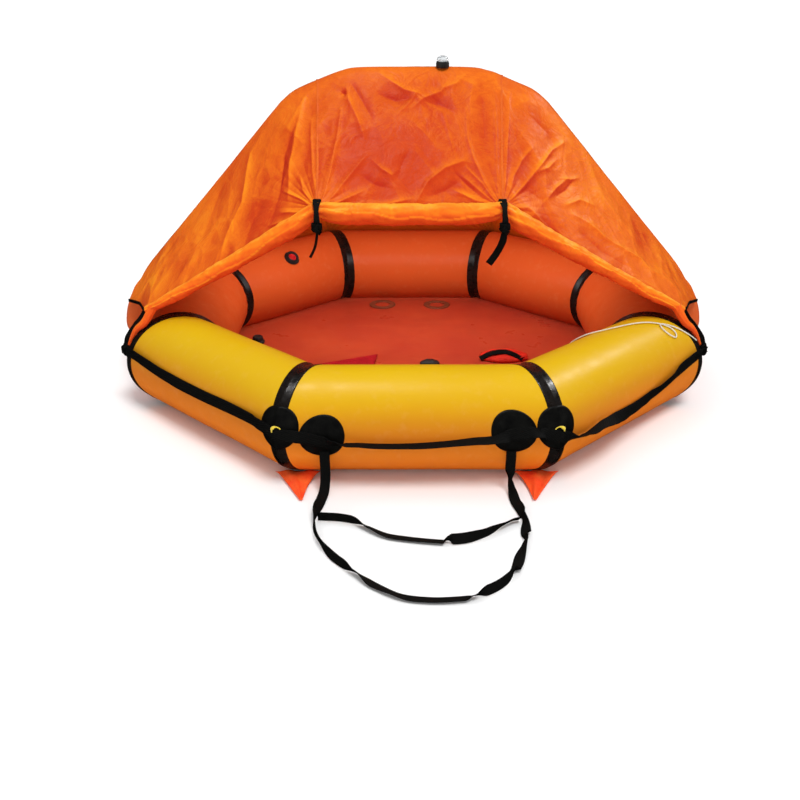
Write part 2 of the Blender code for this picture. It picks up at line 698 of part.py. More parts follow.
# Gas cylinder on the ground behind the back tube, held by two bands, with its hose
BAND_R = CYLINDER_R + GAP
band_outer = BAND_R + BAND_THICK
bottle_z = band_outer + GAP
bottle_y = APOTHEM + math.sqrt((TUBE_R + GAP + band_outer) ** 2 - (AXIS_Z - bottle_z) ** 2)
bottle_start = Vector((-CYLINDER_LENGTH / 2, bottle_y, bottle_z))
neck = CYLINDER_LENGTH
shoulder = 0.045
bottle_profile = [(0, neck), (0.016, neck), (0.018, neck - 0.012), (CYLINDER_R * 0.62, neck - 0.024),
                  (CYLINDER_R * 0.92, neck - shoulder), (CYLINDER_R, neck - shoulder - 0.02),
                  (CYLINDER_R, 0.030), (CYLINDER_R * 0.9, 0.010), (CYLINDER_R * 0.6, 0), (0, 0)]
bottle = turned("gas_cylinder", bottle_profile, bottle_start, GREY, 0.4, steps=24)
aim(bottle, Vector((1, 0, 0)))
head_profile = [(0, HEAD_LENGTH), (0.013, HEAD_LENGTH), (0.015, 0.038), (0.015, 0.014),
                (0.020, 0.012), (0.020, 0), (0, 0)]
head_start = bottle_start + Vector((neck + GAP, 0, 0))
head = turned("cylinder_head", head_profile, head_start, GREY, 0.3)
aim(head, Vector((1, 0, 0)))
band_profile = [(BAND_R, BAND_WIDTH), (band_outer, BAND_WIDTH), (band_outer, 0),
                (BAND_R, 0), (BAND_R, BAND_WIDTH)]
for hand, x in (("left", -BAND_SPACING / 2), ("right", BAND_SPACING / 2)):
    band_start = Vector((x - BAND_WIDTH / 2, bottle_y, bottle_z))
    band = turned("cylinder_band_" + hand, band_profile, band_start, BLACK, 0.6, steps=32)
    aim(band, Vector((1, 0, 0)))

hose_start = bottle_start + Vector((neck + HEAD_LENGTH + 4 * GAP, 0, 0))
hose_turn = math.radians(HOSE_ANGLE)
hose_out = Vector((0, math.cos(hose_turn), math.sin(hose_turn)))
hose_end = Vector((HOSE_X, APOTHEM, AXIS_Z)) + hose_out * (TUBE_R + 0.001)
hose_way = [hose_start,
            hose_start + Vector((0.018, 0, 0)),
            hose_start.lerp(hose_end, 0.5) + Vector((0.025, 0.012, 0)),
            hose_end + hose_out * 0.022,
            hose_end]
tube_curve("inflation_hose", curve_through(hose_way, 5), HOSE_R, BLACK, 0.6)

# Equipment pouch on the floor, and the white lanyard along the front right tube
plate("equipment_pouch", POUCH, FLOOR_TOP + GAP, POUCH_THICK, CRIMSON, 0.6)

LANYARD = ((-1.985, 33), (-1.955, 47), (-1.925, 60), (-1.89, 70), (-1.86, 66), (-1.85, 55),
           (-1.87, 47), (-1.895, 52), (-1.90, 62), (-1.875, 74), (-1.83, 84), (-1.76, 92),
           (-1.68, 99), (-1.62, 106), (-1.58, 116), (-1.55, 130), (-1.53, 146), (-1.52, 160))
lanyard_points = []
for turns, angle in curve_through(LANYARD, 2):
    lanyard_points.append(ring_at(turns, angle, SKIN_R + LANYARD_R + 0.001))
tube_curve("lanyard", lanyard_points, LANYARD_R, WHITE, 0.6)
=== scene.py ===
import bisect
import math

import bmesh
import bpy
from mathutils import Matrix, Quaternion, Vector, noise


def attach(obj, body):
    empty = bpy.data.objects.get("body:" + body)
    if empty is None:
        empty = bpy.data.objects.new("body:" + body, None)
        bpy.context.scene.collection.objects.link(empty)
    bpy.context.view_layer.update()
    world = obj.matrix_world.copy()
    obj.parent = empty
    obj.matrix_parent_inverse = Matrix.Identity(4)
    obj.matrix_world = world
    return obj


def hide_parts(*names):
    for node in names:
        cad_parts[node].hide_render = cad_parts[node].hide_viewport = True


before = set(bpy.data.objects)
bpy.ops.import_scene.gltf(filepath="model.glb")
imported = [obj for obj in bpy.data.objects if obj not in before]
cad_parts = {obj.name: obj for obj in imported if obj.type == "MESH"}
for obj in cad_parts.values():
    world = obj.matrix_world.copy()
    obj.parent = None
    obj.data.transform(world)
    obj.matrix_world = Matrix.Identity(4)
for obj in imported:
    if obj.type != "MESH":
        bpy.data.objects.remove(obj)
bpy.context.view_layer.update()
scene = bpy.context.scene

# The same values as in the CAD source, in metres
GAP = 0.0003
SIDE = 0.65
TUBE_R = 0.150
SIDES = 8
TAPE_THICK = 0.002
TAPE_HALF_WIDTH = 0.025
TUBE_FACETS = 32
AXIS_Z = (TUBE_R + GAP + TAPE_THICK) * math.cos(math.pi / TUBE_FACETS)
HALF_TURN = math.pi / SIDES
APOTHEM = SIDE / 2 / math.tan(HALF_TURN)
CORNER_R = SIDE / 2 / math.sin(HALF_TURN)
SKIN_R = TUBE_R + GAP + TAPE_THICK + GAP
FLOOR_TOP = 0.028
FLOOR_THICK = 0.0015
ARCH_R = 0.050
ARCH_FOOT_REACH = (TUBE_R + ARCH_R + GAP) * 1.003
ARCH_FOOT_ANGLES = (-10, 2, 14, 26, 37, 46)
ARCH_LEG = ((0.881, 0.357), (0.767, 0.484), (0.652, 0.612), (0.538, 0.740), (0.424, 0.867))
ARCH_SHOULDER = ((0.396, 0.896), (0.361, 0.922), (0.290, 0.952), (0.224, 0.976))
ARCH_CROWN = ((0.170, 0.9845), (0.0, 0.9855))
CLOTH_R = ARCH_R + 0.0020
DOOR_SEAM_LEFT = -0.300
DOOR_SEAM_RIGHT = 0.264
TIE_Y = -0.375
TIE_Z = 0.672
ROLL_R = 0.027
ROLL_CLEAR = 0.005
ROLL_CORNER = Vector((0.865, -0.350, 0.330))
HEM_FOOT_Z = 0.262
HEM_ANGLES = (52, 47, 42, 37, 32)
WEBBING = 0.034
PATCH_R = 0.0625
LADDER_WEBBING = 0.028
CORNER_PATCH_ANGLE = 12.5
LADDER_PATCH_ANGLES = (4, 9)
LADDER_PATCH_SHIFT = 0.1255
LADDER_Z = 0.002

LIFELINE_FRONT = ((1.0, 19), (0.93, 18), (0.705, 11.5), (0.46, 10), (0.23, 11.5), (0.09, 11),
                  (0.0, 8), (-0.09, 5), (-0.17, 0.7), (-0.25, -0.5), (-0.34, -2.8), (-0.44, -3.2),
                  (-0.55, -2), (-0.75, 3.8), (-0.83, 8), (-0.91, 10), (-1.0, 5), (-1.08, -1),
                  (-1.166, -5), (-1.25, -3), (-1.45, -7), (-1.64, -1), (-1.8, 9.4), (-1.93, 16), (-2.0, 18))
LIFELINE_BACK = ((1.03, 18), (1.15, 6), (1.32, -18), (1.5, -28), (1.68, -18), (1.85, -4), (2.0, 0),
                 (2.25, -9), (2.5, -13), (2.75, -9), (3.0, 0), (3.25, -3), (3.5, -4), (3.75, -3),
                 (4.0, 0), (4.25, -9), (4.5, -13), (4.75, -9), (5.0, 0), (5.15, -4), (5.32, -18),
                 (5.5, -28), (5.68, -18), (5.85, 6), (5.97, 17))
LADDER_SIDE = ((0.2545, -0.9440, 0.122), (0.2545, -0.9455, 0.100), (0.2535, -0.9480, 0.060),
               (0.2550, -0.9550, 0.026), (0.2575, -0.9720, 0.007), (0.2620, -1.000, 0.002),
               (0.2690, -1.050, 0.002), (0.2740, -1.100, 0.002))
LADDER_LOOP = ((0.274, -1.150), (0.267, -1.210), (0.246, -1.275), (0.230, -1.330), (0.208, -1.378),
               (0.172, -1.418), (0.128, -1.443), (0.076, -1.452), (0.019, -1.454), (-0.048, -1.441),
               (-0.104, -1.402), (-0.150, -1.358), (-0.195, -1.315), (-0.232, -1.262), (-0.258, -1.200),
               (-0.270, -1.150))
LADDER_RUNG = ((0.264, -1.112), (0.247, -1.118), (0.223, -1.138), (0.190, -1.170), (0.150, -1.197),
               (0.090, -1.214), (0.020, -1.207), (-0.040, -1.195), (-0.090, -1.179), (-0.150, -1.135),
               (-0.200, -1.114), (-0.245, -1.108), (-0.264, -1.106))
STRAP_THICK = 0.0024
LADDER_CLEAR = 0.0006
LADDER_THICK = 0.0022
LANYARD_R = 0.002
LANYARD = ((-1.985, 33), (-1.955, 47), (-1.925, 60), (-1.89, 70), (-1.86, 66), (-1.85, 55),
           (-1.87, 47), (-1.895, 52), (-1.90, 62), (-1.875, 74), (-1.83, 84), (-1.76, 92),
           (-1.68, 99), (-1.62, 106), (-1.58, 116), (-1.55, 130), (-1.53, 146), (-1.52, 160))

# The photograph's camera: place, pitch and turn, and its focal length in pixels of 800
CAMERA_PLACE = Vector((-0.0527, -3.219, 1.295))
CAMERA_PITCH = math.radians(24.13)
CAMERA_TURN = math.radians(0.1)
FOCAL_PIXELS = 938.6
HALF_FRAME = 400


def make_camera():
    data = bpy.data.cameras.new("camera")
    data.sensor_width = 36
    data.lens = FOCAL_PIXELS / (2 * HALF_FRAME) * data.sensor_width
    data.clip_start = 0.05
    data.clip_end = 400
    camera = bpy.data.objects.new("camera", data)
    scene.collection.objects.link(camera)
    camera.location = CAMERA_PLACE
    camera.rotation_euler = (math.pi / 2 - CAMERA_PITCH, 0, -CAMERA_TURN)
    scene.camera = camera


make_camera()
AHEAD = Vector((math.sin(CAMERA_TURN) * math.cos(CAMERA_PITCH),
                math.cos(CAMERA_TURN) * math.cos(CAMERA_PITCH), -math.sin(CAMERA_PITCH)))
RIGHT = Vector((math.cos(CAMERA_TURN), -math.sin(CAMERA_TURN), 0))
UP = RIGHT.cross(AHEAD)


def in_photo(place):
    """Where a point stands in the photograph, in pixels, to lay folds and painted shade and light where it
    shows them.
    """
    offset = place - CAMERA_PLACE
    depth = offset.dot(AHEAD)
    return (HALF_FRAME + FOCAL_PIXELS * offset.dot(RIGHT) / depth,
            HALF_FRAME - FOCAL_PIXELS * offset.dot(UP) / depth)


# A place inside the raft, to tell the outside of its cloth
INSIDE = Vector((0, 0, 0.15))
UPRIGHT = Vector((0, 0, 1))
AXIS_X = Vector((1, 0, 0))

# Ring geometry, as in the CAD source


def corner(index):
    angle = math.radians(-90) - HALF_TURN - index * 2 * HALF_TURN
    return Vector((CORNER_R * math.cos(angle), CORNER_R * math.sin(angle), AXIS_Z))


def side_axes(index):
    along = (corner(index + 1) - corner(index)).normalized()
    outward = (corner(index + 1) + corner(index)) / 2
    outward.z = 0
    return along, outward.normalized()


def side_direction(index, angle):
    """The way out of a tube at an angle above level, where 0 is away from the raft."""
    turn = math.radians(angle)
    return side_axes(index)[1] * math.cos(turn) + Vector((0, 0, math.sin(turn)))


def ring_point(index, distance, angle, radius):
    """A place at a radius from a tube's axis, its distance taken along the tube from a corner."""
    along, outward = side_axes(index if distance >= 0 else index - 1)
    turn = math.radians(angle)
    across = outward * math.cos(turn) + Vector((0, 0, math.sin(turn)))
    mitre = radius * math.cos(turn) * math.tan(HALF_TURN)
    shift = distance - mitre if distance >= 0 else distance + mitre
    return corner(index) + across * radius + along * shift


def ring_at(turns, angle, radius):
    """The same by tubes and shares of a tube, counted round the ring."""
    first = math.floor(turns)
    share = turns - first
    length = SIDE + 2 * radius * math.cos(math.radians(angle)) * math.tan(HALF_TURN)
    if share <= 0.5:
        return ring_point(first, share * length, angle, radius)
    return ring_point(first + 1, -(1 - share) * length, angle, radius)


def curve_through(places, steps):
    points = [Vector(place) for place in places]
    padded = [2 * points[0] - points[1]] + points + [2 * points[-1] - points[-2]]
    result = []
    for a, b, c, d in zip(padded, padded[1:], padded[2:], padded[3:]):
        for k in range(steps):
            t = k / steps
            result.append(0.5 * (2 * b + (c - a) * t + (2 * a - 5 * b + 4 * c - d) * t ** 2
                                 + (3 * b - a - 3 * c + d) * t ** 3))
    return result + [points[-1]]


def path_length(points):
    return sum((b - a).length for a, b in zip(points, points[1:]))


def tangent(points, k):
    """The way along a path at one of its points, from the point before to the one after."""
    return points[min(k + 1, len(points) - 1)] - points[max(k - 1, 0)]


def at_steps(points, count):
    """Places at equal steps along a path, each with its distance from the start."""
    total = path_length(points)
    result = []
    reach = 0.0
    k = 0
    for i in range(count + 1):
        target = total * i / count
        while k < len(points) - 2 and reach + (points[k + 1] - points[k]).length < target:
            reach += (points[k + 1] - points[k]).length
            k += 1
        span = (points[k + 1] - points[k]).length
        share = (target - reach) / span if span else 0
        result.append((points[k].lerp(points[k + 1], share), target))
    return result


def spaced(points, step):
    """The same path with points at equal steps along it."""
    count = max(int(path_length(points) / step), 4)
    return [place for place, _ in at_steps(points, count)]


def smooth(value, low=0.0, high=1.0):
    t = min(max((value - low) / (high - low), 0.0), 1.0)
    return t * t * (3 - 2 * t)


def keyed(value, knots):
    """A value read from (place, value) pairs, with smooth steps between them."""
    for (a, p), (b, q) in zip(knots, knots[1:]):
        if value <= b:
            return p + (q - p) * smooth(value, a, b)
    return knots[-1][1]


# Materials


class Shade:
    """A Principled material whose maps are joined by a few short calls."""

    def __init__(self, name, roughness=0.5, specular=0.5, coat=0.0, coat_roughness=0.1, sheen=0.0,
                 metallic=0.0, transmission=0.0):
        self.material = bpy.data.materials.new(name)
        self.material.use_nodes = True
        self.nodes = self.material.node_tree.nodes
        self.links = self.material.node_tree.links
        self.shader = self.nodes["Principled BSDF"]
        for socket, value in (("Roughness", roughness), ("Specular IOR Level", specular),
                              ("Coat Weight", coat), ("Coat Roughness", coat_roughness),
                              ("Sheen Weight", sheen), ("Metallic", metallic),
                              ("Transmission Weight", transmission)):
            self.shader.inputs[socket].default_value = value
        self.place = self.nodes.new("ShaderNodeTexCoord").outputs["Object"]
        self.uv = None

    def join(self, source, target):
        self.links.new(source, target)

    def strap_uv(self):
        if self.uv is None:
            node = self.add("UVMap")
            node.uv_map = "strap"
            self.uv = node.outputs["UV"]
        return self.uv

    def add(self, kind, source=None, **inputs):
        """A node with its inputs set by their names, read at the places of a source."""
        node = self.nodes.new("ShaderNode" + kind)
        for socket, value in inputs.items():
            node.inputs[socket].default_value = value
        if source is not None:
            self.join(source, node.inputs["Vector"])
        return node

    def stretch(self, source, scale):
        return self.add("Mapping", source, Scale=scale).outputs["Vector"]

    def noise(self, scale, detail, rough, source=None, distortion=0.0):
        return self.add("TexNoise", source or self.place, Scale=scale, Detail=detail, Roughness=rough,
                        Distortion=distortion).outputs["Fac"]

    def wave(self, scale, source=None, direction="X"):
        node = self.add("TexWave", source or self.place, Scale=scale)
        node.bands_direction = direction
        return node.outputs["Fac"]

    def cells(self, scale, source=None, feature="F1"):
        node = self.add("TexVoronoi", source or self.place, Scale=scale)
        node.feature = feature
        return node.outputs["Distance"]

    def math(self, operation, a, b=0.0):
        node = self.add("Math")
        node.operation = operation
        for socket, value in zip(node.inputs, (a, b)):
            if isinstance(value, (int, float)):
                socket.default_value = value
            else:
                self.join(value, socket)
        return node.outputs["Value"]

    def span(self, value, low, high, to_low=0.0, to_high=1.0):
        limits = {"From Min": low, "From Max": high, "To Min": to_low, "To Max": to_high}
        node = self.add("MapRange", **limits)
        self.join(value, node.inputs["Value"])
        return node.outputs["Result"]

    def ramp(self, value, *stops):
        node = self.add("ValToRGB")
        elements = node.color_ramp.elements
        while len(elements) < len(stops):
            elements.new(0.5)
        for element, (position, colour) in zip(elements, stops):
            element.position = position
            element.color = (*colour, 1)
        self.join(value, node.inputs["Fac"])
        return node.outputs["Color"]

    def mix(self, factor, a, b):
        node = self.add("Mix")
        node.data_type = "RGBA"
        for socket, value in ((node.inputs[0], factor), (node.inputs[6], a), (node.inputs[7], b)):
            if isinstance(value, tuple):
                socket.default_value = (*value, 1)
            elif isinstance(value, (int, float)):
                socket.default_value = value
            else:
                self.join(value, socket)
        return node.outputs[2]

    def ridge(self, source):
        """A noise folded at its middle, so that it runs along sharp lines."""
        return self.math("ABSOLUTE", self.math("SUBTRACT", source, 0.5))

    def crush(self, shift):
        """Fine crushed creases of thin cloth, read a little way up or down the cloth."""
        spot = self.add("Mapping", self.place, Location=(0.3 * shift, -shift, shift)).outputs["Vector"]
        crease = self.span(self.ridge(self.noise(11, 4, 0.55, spot, 1.6)), 0.0, 0.20)
        cells = self.span(self.cells(15, spot, "DISTANCE_TO_EDGE"), 0.0, 0.34)
        fine = self.span(self.cells(40, spot, "DISTANCE_TO_EDGE"), 0.0, 0.30)
        first = self.math("MULTIPLY", crease, 0.50)
        second = self.math("MULTIPLY", cells, 0.38)
        return self.math("ADD", self.math("ADD", first, second), self.math("MULTIPLY", fine, 0.12))

    def attribute(self, name):
        node = self.add("Attribute")
        node.attribute_name = name
        return node.outputs["Fac"]

    def height(self):
        return self.add("SeparateXYZ", self.place).outputs["Z"]

    def colour(self, source):
        if isinstance(source, tuple):
            self.shader.inputs["Base Color"].default_value = (*source, 1)
        else:
            self.join(source, self.shader.inputs["Base Color"])

    def roughness(self, scale, detail, rough, low, high, top=0.7):
        """Roughness that runs from low to high with a noise."""
        spots = self.span(self.noise(scale, detail, rough), 0.3, top, low, high)
        self.join(spots, self.shader.inputs["Roughness"])

    def bump(self, *layers):
        """Each layer is (height, depth in metres)."""
        normal = None
        for value, depth in layers:
            node = self.add("Bump", Strength=1.0, Distance=depth)
            self.join(value, node.inputs["Height"])
            if normal is not None:
                self.join(normal, node.inputs["Normal"])
            normal = node.outputs["Normal"]
        self.join(normal, self.shader.inputs["Normal"])


YELLOW = (0.68, 0.43, 0.006)
YELLOW_DEEP = (0.60, 0.340, 0.007)
AMBER = (0.56, 0.228, 0.008)
DEEP_AMBER = (0.63, 0.170, 0.010)
TUBE_ORANGE = (0.74, 0.196, 0.012)
TUBE_SHADE = (0.74, 0.172, 0.012)
SIDE_ORANGE = (0.61, 0.102, 0.020)
SIDE_DEEP = (0.58, 0.085, 0.020)


def coated_fabric(name, colours, low, high):
    """Coated fabric of the tubes: faint weave under a soft gloss, its colour set by height."""
    shade = Shade(name, roughness=0.36, specular=0.08)
    height = shade.span(shade.height(), low, high)
    stops = [(k / (len(colours) - 1), colour) for k, colour in enumerate(colours)]
    base = shade.ramp(height, *stops)
    cloud = shade.noise(3.5, 4, 0.6)
    grime = shade.noise(38, 3, 0.5)
    base = shade.mix(shade.span(cloud, 0.35, 0.75, 0.0, 0.10), base, tuple(0.80 * c for c in colours[0]))
    base = shade.mix(shade.span(grime, 0.55, 0.8, 0.0, 0.06), base, (0.9, 0.55, 0.25))
    shade.colour(base)
    shade.roughness(14, 3, 0.5, 0.30, 0.44)
    weave = shade.cells(900)
    shade.bump((weave, 0.00004), (shade.noise(26, 2, 0.5), 0.0004))
    return shade.material


def tape_material():
    shade = Shade("tape_rubber", roughness=0.25, specular=0.16, coat=0.03, coat_roughness=0.15)
    cloud = shade.noise(22, 4, 0.6)
    shade.colour(shade.ramp(cloud, (0.3, (0.003, 0.003, 0.003)), (0.75, (0.014, 0.010, 0.008))))
    shade.roughness(60, 3, 0.6, 0.20, 0.42)
    shade.bump((shade.cells(700), 0.00005), (shade.noise(75, 3, 0.6), 0.0006))
    return shade.material


def webbing_material(name, dark, light):
    """Woven strap: a herringbone along its length, ribs across it and fuzzy edges."""
    shade = Shade(name, roughness=0.72, specular=0.05)
    uv = shade.strap_uv()
    ribs = shade.wave(1.0, shade.stretch(uv, (0, 150, 0)), "Y")
    twill = shade.wave(1.0, shade.stretch(uv, (110, 60, 0)), "DIAGONAL")
    fibre = shade.noise(420, 2, 0.6)
    pattern = shade.math("MULTIPLY", ribs, twill)
    shade.colour(shade.mix(shade.span(shade.math("ADD", pattern, fibre), 0.4, 1.5), dark, light))
    shade.bump((pattern, 0.0006), (fibre, 0.0002))
    return shade.material


def rubber_patch_material():
    shade = Shade("patch_rubber", roughness=0.48, specular=0.08)
    cloud = shade.noise(30, 4, 0.6)
    shade.colour(shade.ramp(cloud, (0.3, (0.002, 0.002, 0.002)), (0.8, (0.007, 0.007, 0.006))))
    shade.roughness(90, 3, 0.6, 0.38, 0.62, top=0.75)
    shade.bump((shade.cells(800), 0.00006), (shade.noise(120, 3, 0.55), 0.0003))
    return shade.material


def canopy_material(name, stops):
    """Thin proofed nylon with painted shade and light: redder where the cloth tilts away from the light and
    in its hollows, lighter on its raised folds, and its fine creases painted lighter on one side and darker
    on the other.
    """
    shade = Shade(name, roughness=0.34, specular=0.03)
    shading_and_tone = shade.attribute("shading_and_tone")
    cloud = shade.noise(5, 4, 0.6, distortion=0.6)
    shading_and_tone = shade.math("ADD", shading_and_tone, shade.span(cloud, 0.3, 0.7, -0.05, 0.05))
    # Painted light and shade on the fine creases: the crease pattern is read a little up and a little down
    # the cloth, and the difference makes one side of each crease lighter and the other darker.
    lit = shade.crush(0.0010)
    dark = shade.crush(-0.0010)
    painted_crease_light = shade.math("SUBTRACT", lit, dark)
    shading_and_tone = shade.math("ADD", shading_and_tone, shade.span(painted_crease_light, -0.11, 0.11, -0.04, 0.04))
    shade.colour(shade.ramp(shading_and_tone, *stops))
    shade.roughness(18, 3, 0.6, 0.34, 0.50)
    weave = shade.noise(900, 1, 0.5)
    shade.bump((shade.crush(0.0), 0.0020), (weave, 0.00008))
    return shade.material


def floor_material():
    shade = Shade("floor_cloth", roughness=0.34, specular=0.07)
    cloud = shade.noise(2.4, 4, 0.55, distortion=0.5)
    base = shade.ramp(cloud, (0.3, (0.42, 0.044, 0.022)), (0.72, (0.52, 0.074, 0.026)))
    streaks = shade.noise(4, 4, 0.6, shade.stretch(shade.place, (1.0, 5.0, 1.0)))
    base = shade.mix(shade.span(streaks, 0.55, 0.8, 0.0, 0.28), base, (0.62, 0.13, 0.05))
    shade.colour(base)
    shade.roughness(10, 3, 0.5, 0.26, 0.44)
    shade.bump((shade.cells(900), 0.00004), (shade.noise(9, 3, 0.5), 0.0012))
    return shade.material


def thin_cloth_material(name, dark, light, rough=0.5):
    shade = Shade(name, roughness=rough, specular=0.06)
    shade.colour(shade.ramp(shade.noise(14, 5, 0.6, distortion=0.8), (0.3, dark), (0.7, light)))
    creases = shade.noise(40, 5, 0.6, distortion=1.2)
    shade.bump((shade.ridge(creases), 0.006), (shade.noise(700, 2, 0.5), 0.0001))
    return shade.material


def moulded_material(name, dark, light, rough):
    shade = Shade(name, roughness=rough, specular=0.15)
    shade.colour(shade.ramp(shade.noise(45, 4, 0.6), (0.3, dark), (0.75, light)))
    shade.roughness(120, 3, 0.6, rough - 0.08, rough + 0.1)
    shade.bump((shade.noise(520, 3, 0.6), 0.00012))
    return shade.material


def metal_material(name, dark, light, metallic, rough):
    shade = Shade(name, roughness=rough, metallic=metallic, specular=0.5)
    scuffs = shade.noise(30, 6, 0.7, shade.stretch(shade.place, (1.0, 4.0, 4.0)))
    shade.colour(shade.ramp(scuffs, (0.3, dark), (0.72, light)))
    shade.roughness(80, 4, 0.6, rough - 0.08, rough + 0.14)
    shade.bump((shade.noise(220, 4, 0.6), 0.0001))
    return shade.material


def braided_material(name, dark, light):
    shade = Shade(name, roughness=0.65, specular=0.3, sheen=0.2)
    strands = shade.cells(420)
    shade.colour(shade.ramp(strands, (0.0, light), (0.8, dark)))
    shade.bump((strands, 0.0006))
    return shade.material


def lens_material():
    shade = Shade("lens_clear", roughness=0.06, specular=0.5, transmission=0.85)
    shade.colour(shade.ramp(shade.noise(60, 2, 0.5), (0.3, (0.82, 0.86, 0.88)), (0.7, (0.95, 0.97, 0.98))))
    shade.bump((shade.wave(70, direction="Z"), 0.0006))
    return shade.material


def ring_material():
    shade = Shade("ring_patch", roughness=0.45, specular=0.35)
    cloud = shade.noise(30, 3, 0.6)
    shade.colour(shade.ramp(cloud, (0.3, (0.17, 0.048, 0.020)), (0.7, (0.26, 0.070, 0.030))))
    shade.bump((shade.noise(300, 3, 0.6), 0.0002))
    return shade.material


TOP_Z = AXIS_Z + TUBE_R
yellow_tube = coated_fabric("tube_yellow", (TUBE_SHADE, TUBE_ORANGE, DEEP_AMBER, AMBER, YELLOW_DEEP, YELLOW),
                            0.05, TOP_Z)
orange_tube = coated_fabric("tube_orange", (SIDE_DEEP, SIDE_ORANGE, SIDE_ORANGE), 0.0, TOP_Z)
tape_black = tape_material()
webbing_black = webbing_material("webbing_black", (0.002, 0.002, 0.002), (0.010, 0.010, 0.009))
patch_black = rubber_patch_material()
canopy_cloth = canopy_material("canopy_cloth", ((0.06, (0.46, 0.026, 0.008)), (0.36, (0.56, 0.056, 0.008)),
                                                (0.60, (0.73, 0.138, 0.009)), (0.92, (0.91, 0.295, 0.012))))
roll_cloth = canopy_material("roll_cloth", ((0.10, (0.70, 0.056, 0.012)), (0.45, (0.78, 0.105, 0.012)),
                                            (0.75, (0.82, 0.200, 0.012)), (0.96, (0.94, 0.380, 0.030))))
floor_cloth = floor_material()
pocket_cloth = thin_cloth_material("pocket_cloth", (1.0, 0.060, 0.020), (1.0, 0.170, 0.034))
pouch_cloth = thin_cloth_material("pouch_cloth", (0.32, 0.006, 0.012), (0.46, 0.012, 0.020), 0.55)
red_cloth = thin_cloth_material("red_cloth", (0.60, 0.020, 0.012), (0.78, 0.040, 0.018))
valve_black = moulded_material("valve_black", (0.008, 0.008, 0.008), (0.030, 0.030, 0.028), 0.42)
valve_red = moulded_material("valve_red", (0.40, 0.010, 0.012), (0.58, 0.020, 0.020), 0.35)
grey_paint = metal_material("bottle_paint", (0.24, 0.25, 0.26), (0.38, 0.39, 0.40), 0.1, 0.38)
brass = metal_material("valve_brass", (0.42, 0.30, 0.12), (0.62, 0.46, 0.20), 0.9, 0.34)
white_cord = braided_material("cord_white", (0.55, 0.53, 0.46), (0.88, 0.86, 0.78))
yellow_cord = braided_material("cord_yellow", (0.62, 0.42, 0.02), (0.90, 0.72, 0.06))
hose_black = moulded_material("hose_rubber", (0.010, 0.010, 0.010), (0.030, 0.029, 0.028), 0.5)
lens_clear = lens_material()
ring_brown = ring_material()

# Mesh building


def add_piece(name, mesh, material, nodes):
    """A mesh as a piece of the raft, in place of the solids that it shows."""
    mesh.shade_smooth()
    mesh.materials.append(material)
    obj = bpy.data.objects.new(name, mesh)
    scene.collection.objects.link(obj)
    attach(obj, "root")
    if nodes:
        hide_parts(*nodes)
    return obj


def add_mesh(name, points, faces, material, nodes=(), uv=None, shading_and_tone=None):
    mesh = bpy.data.meshes.new(name)
    mesh.from_pydata([tuple(p) for p in points], [], faces)
    if uv:
        layer = mesh.uv_layers.new(name="strap")
        for loop in mesh.loops:
            layer.data[loop.index].uv = uv[loop.vertex_index]
    if shading_and_tone:
        layer = mesh.attributes.new("shading_and_tone", "FLOAT", "POINT")
        layer.data.foreach_set("value", shading_and_tone)
    return add_piece(name, mesh, material, nodes)


def outward(points, faces):
    """The same closed faces, all turned outwards."""
    bm = bmesh.new()
    verts = [bm.verts.new(p) for p in points]
    for face in faces:
        bm.faces.new([verts[k] for k in face])
    bm.verts.index_update()
    bmesh.ops.recalc_face_normals(bm, faces=bm.faces)
    turned = [[v.index for v in face.verts] for face in bm.faces]
    bm.free()
    return turned


def loft(rows, around=False):
    """Points and faces between rows of points, capped at both ends unless the rows close up."""
    count = len(rows[0])
    total = len(rows)
    points = [p for row in rows for p in row]
    faces = []
    for r in range(total if around else total - 1):
        low = r * count
        high = (r + 1) % total * count
        for i in range(count):
            j = (i + 1) % count
            faces.append((low + i, low + j, high + j, high + i))
    if not around:
        faces.append(tuple(range(count)))
        faces.append(tuple(range((total - 1) * count, total * count)))
    return points, faces


def add_loft(name, rows, material, nodes=(), around=False, uv=None, shading_and_tone=None):
    points, faces = loft(rows, around)
    return add_mesh(name, points, outward(points, faces), material, nodes, uv, shading_and_tone)


def grid_faces(columns, rows):
    """Faces of a grid whose points run down its columns."""
    faces = []
    for c in range(columns):
        for r in range(rows):
            a = c * (rows + 1) + r
            faces.append((a, a + 1, a + rows + 2, a + rows + 1))
    return faces


def ring_faces(rings, spokes, start=0):
    """Faces between rings of points round a middle."""
    faces = []
    for ring in range(rings):
        a = start + ring * spokes
        for k in range(spokes):
            j = (k + 1) % spokes
            faces.append((a + k, a + spokes + k, a + spokes + j, a + j))
    return faces


def wobble(place, scale, seed=0.0):
    return noise.noise(place * scale + Vector((seed, 2.3 * seed, -1.7 * seed)))


STRAP_ACROSS = (-1.0, -0.93, -0.6, -0.2, 0.2, 0.6, 0.93, 1.0)


def strap_rows(points, across, widths, thick):
    """Rows of points round a flat strap with soft edges, and their places on the strap."""
    rows = []
    uv = []
    reach = 0.0
    for k, place in enumerate(points):
        along = tangent(points, k).normalized()
        side = (across[k] - along * across[k].dot(along)).normalized()
        face = along.cross(side).normalized()
        half = widths[k] / 2
        row = []
        for sign in (1, -1):
            for s in STRAP_ACROSS if sign > 0 else reversed(STRAP_ACROSS):
                edge = 0.35 if abs(s) > 0.97 else 1.0
                row.append(place + side * s * half + face * (sign * (thick / 2) * edge))
                uv.append((s * half, reach))
        rows.append(row)
        reach += (points[min(k + 1, len(points) - 1)] - place).length
    return rows, uv


def add_strap(name, points, across, width, thick, material, nodes=()):
    rows, uv = strap_rows(points, across, [width] * len(points), thick)
    return add_loft(name, rows, material, nodes, uv=uv)


def twisted(points, across, turns):
    """The width directions, each turned about the path by its own angle in degrees."""
    result = []
    for k, turn in enumerate(turns):
        result.append(Quaternion(tangent(points, k).normalized(), math.radians(turn)) @ across[k])
    return result


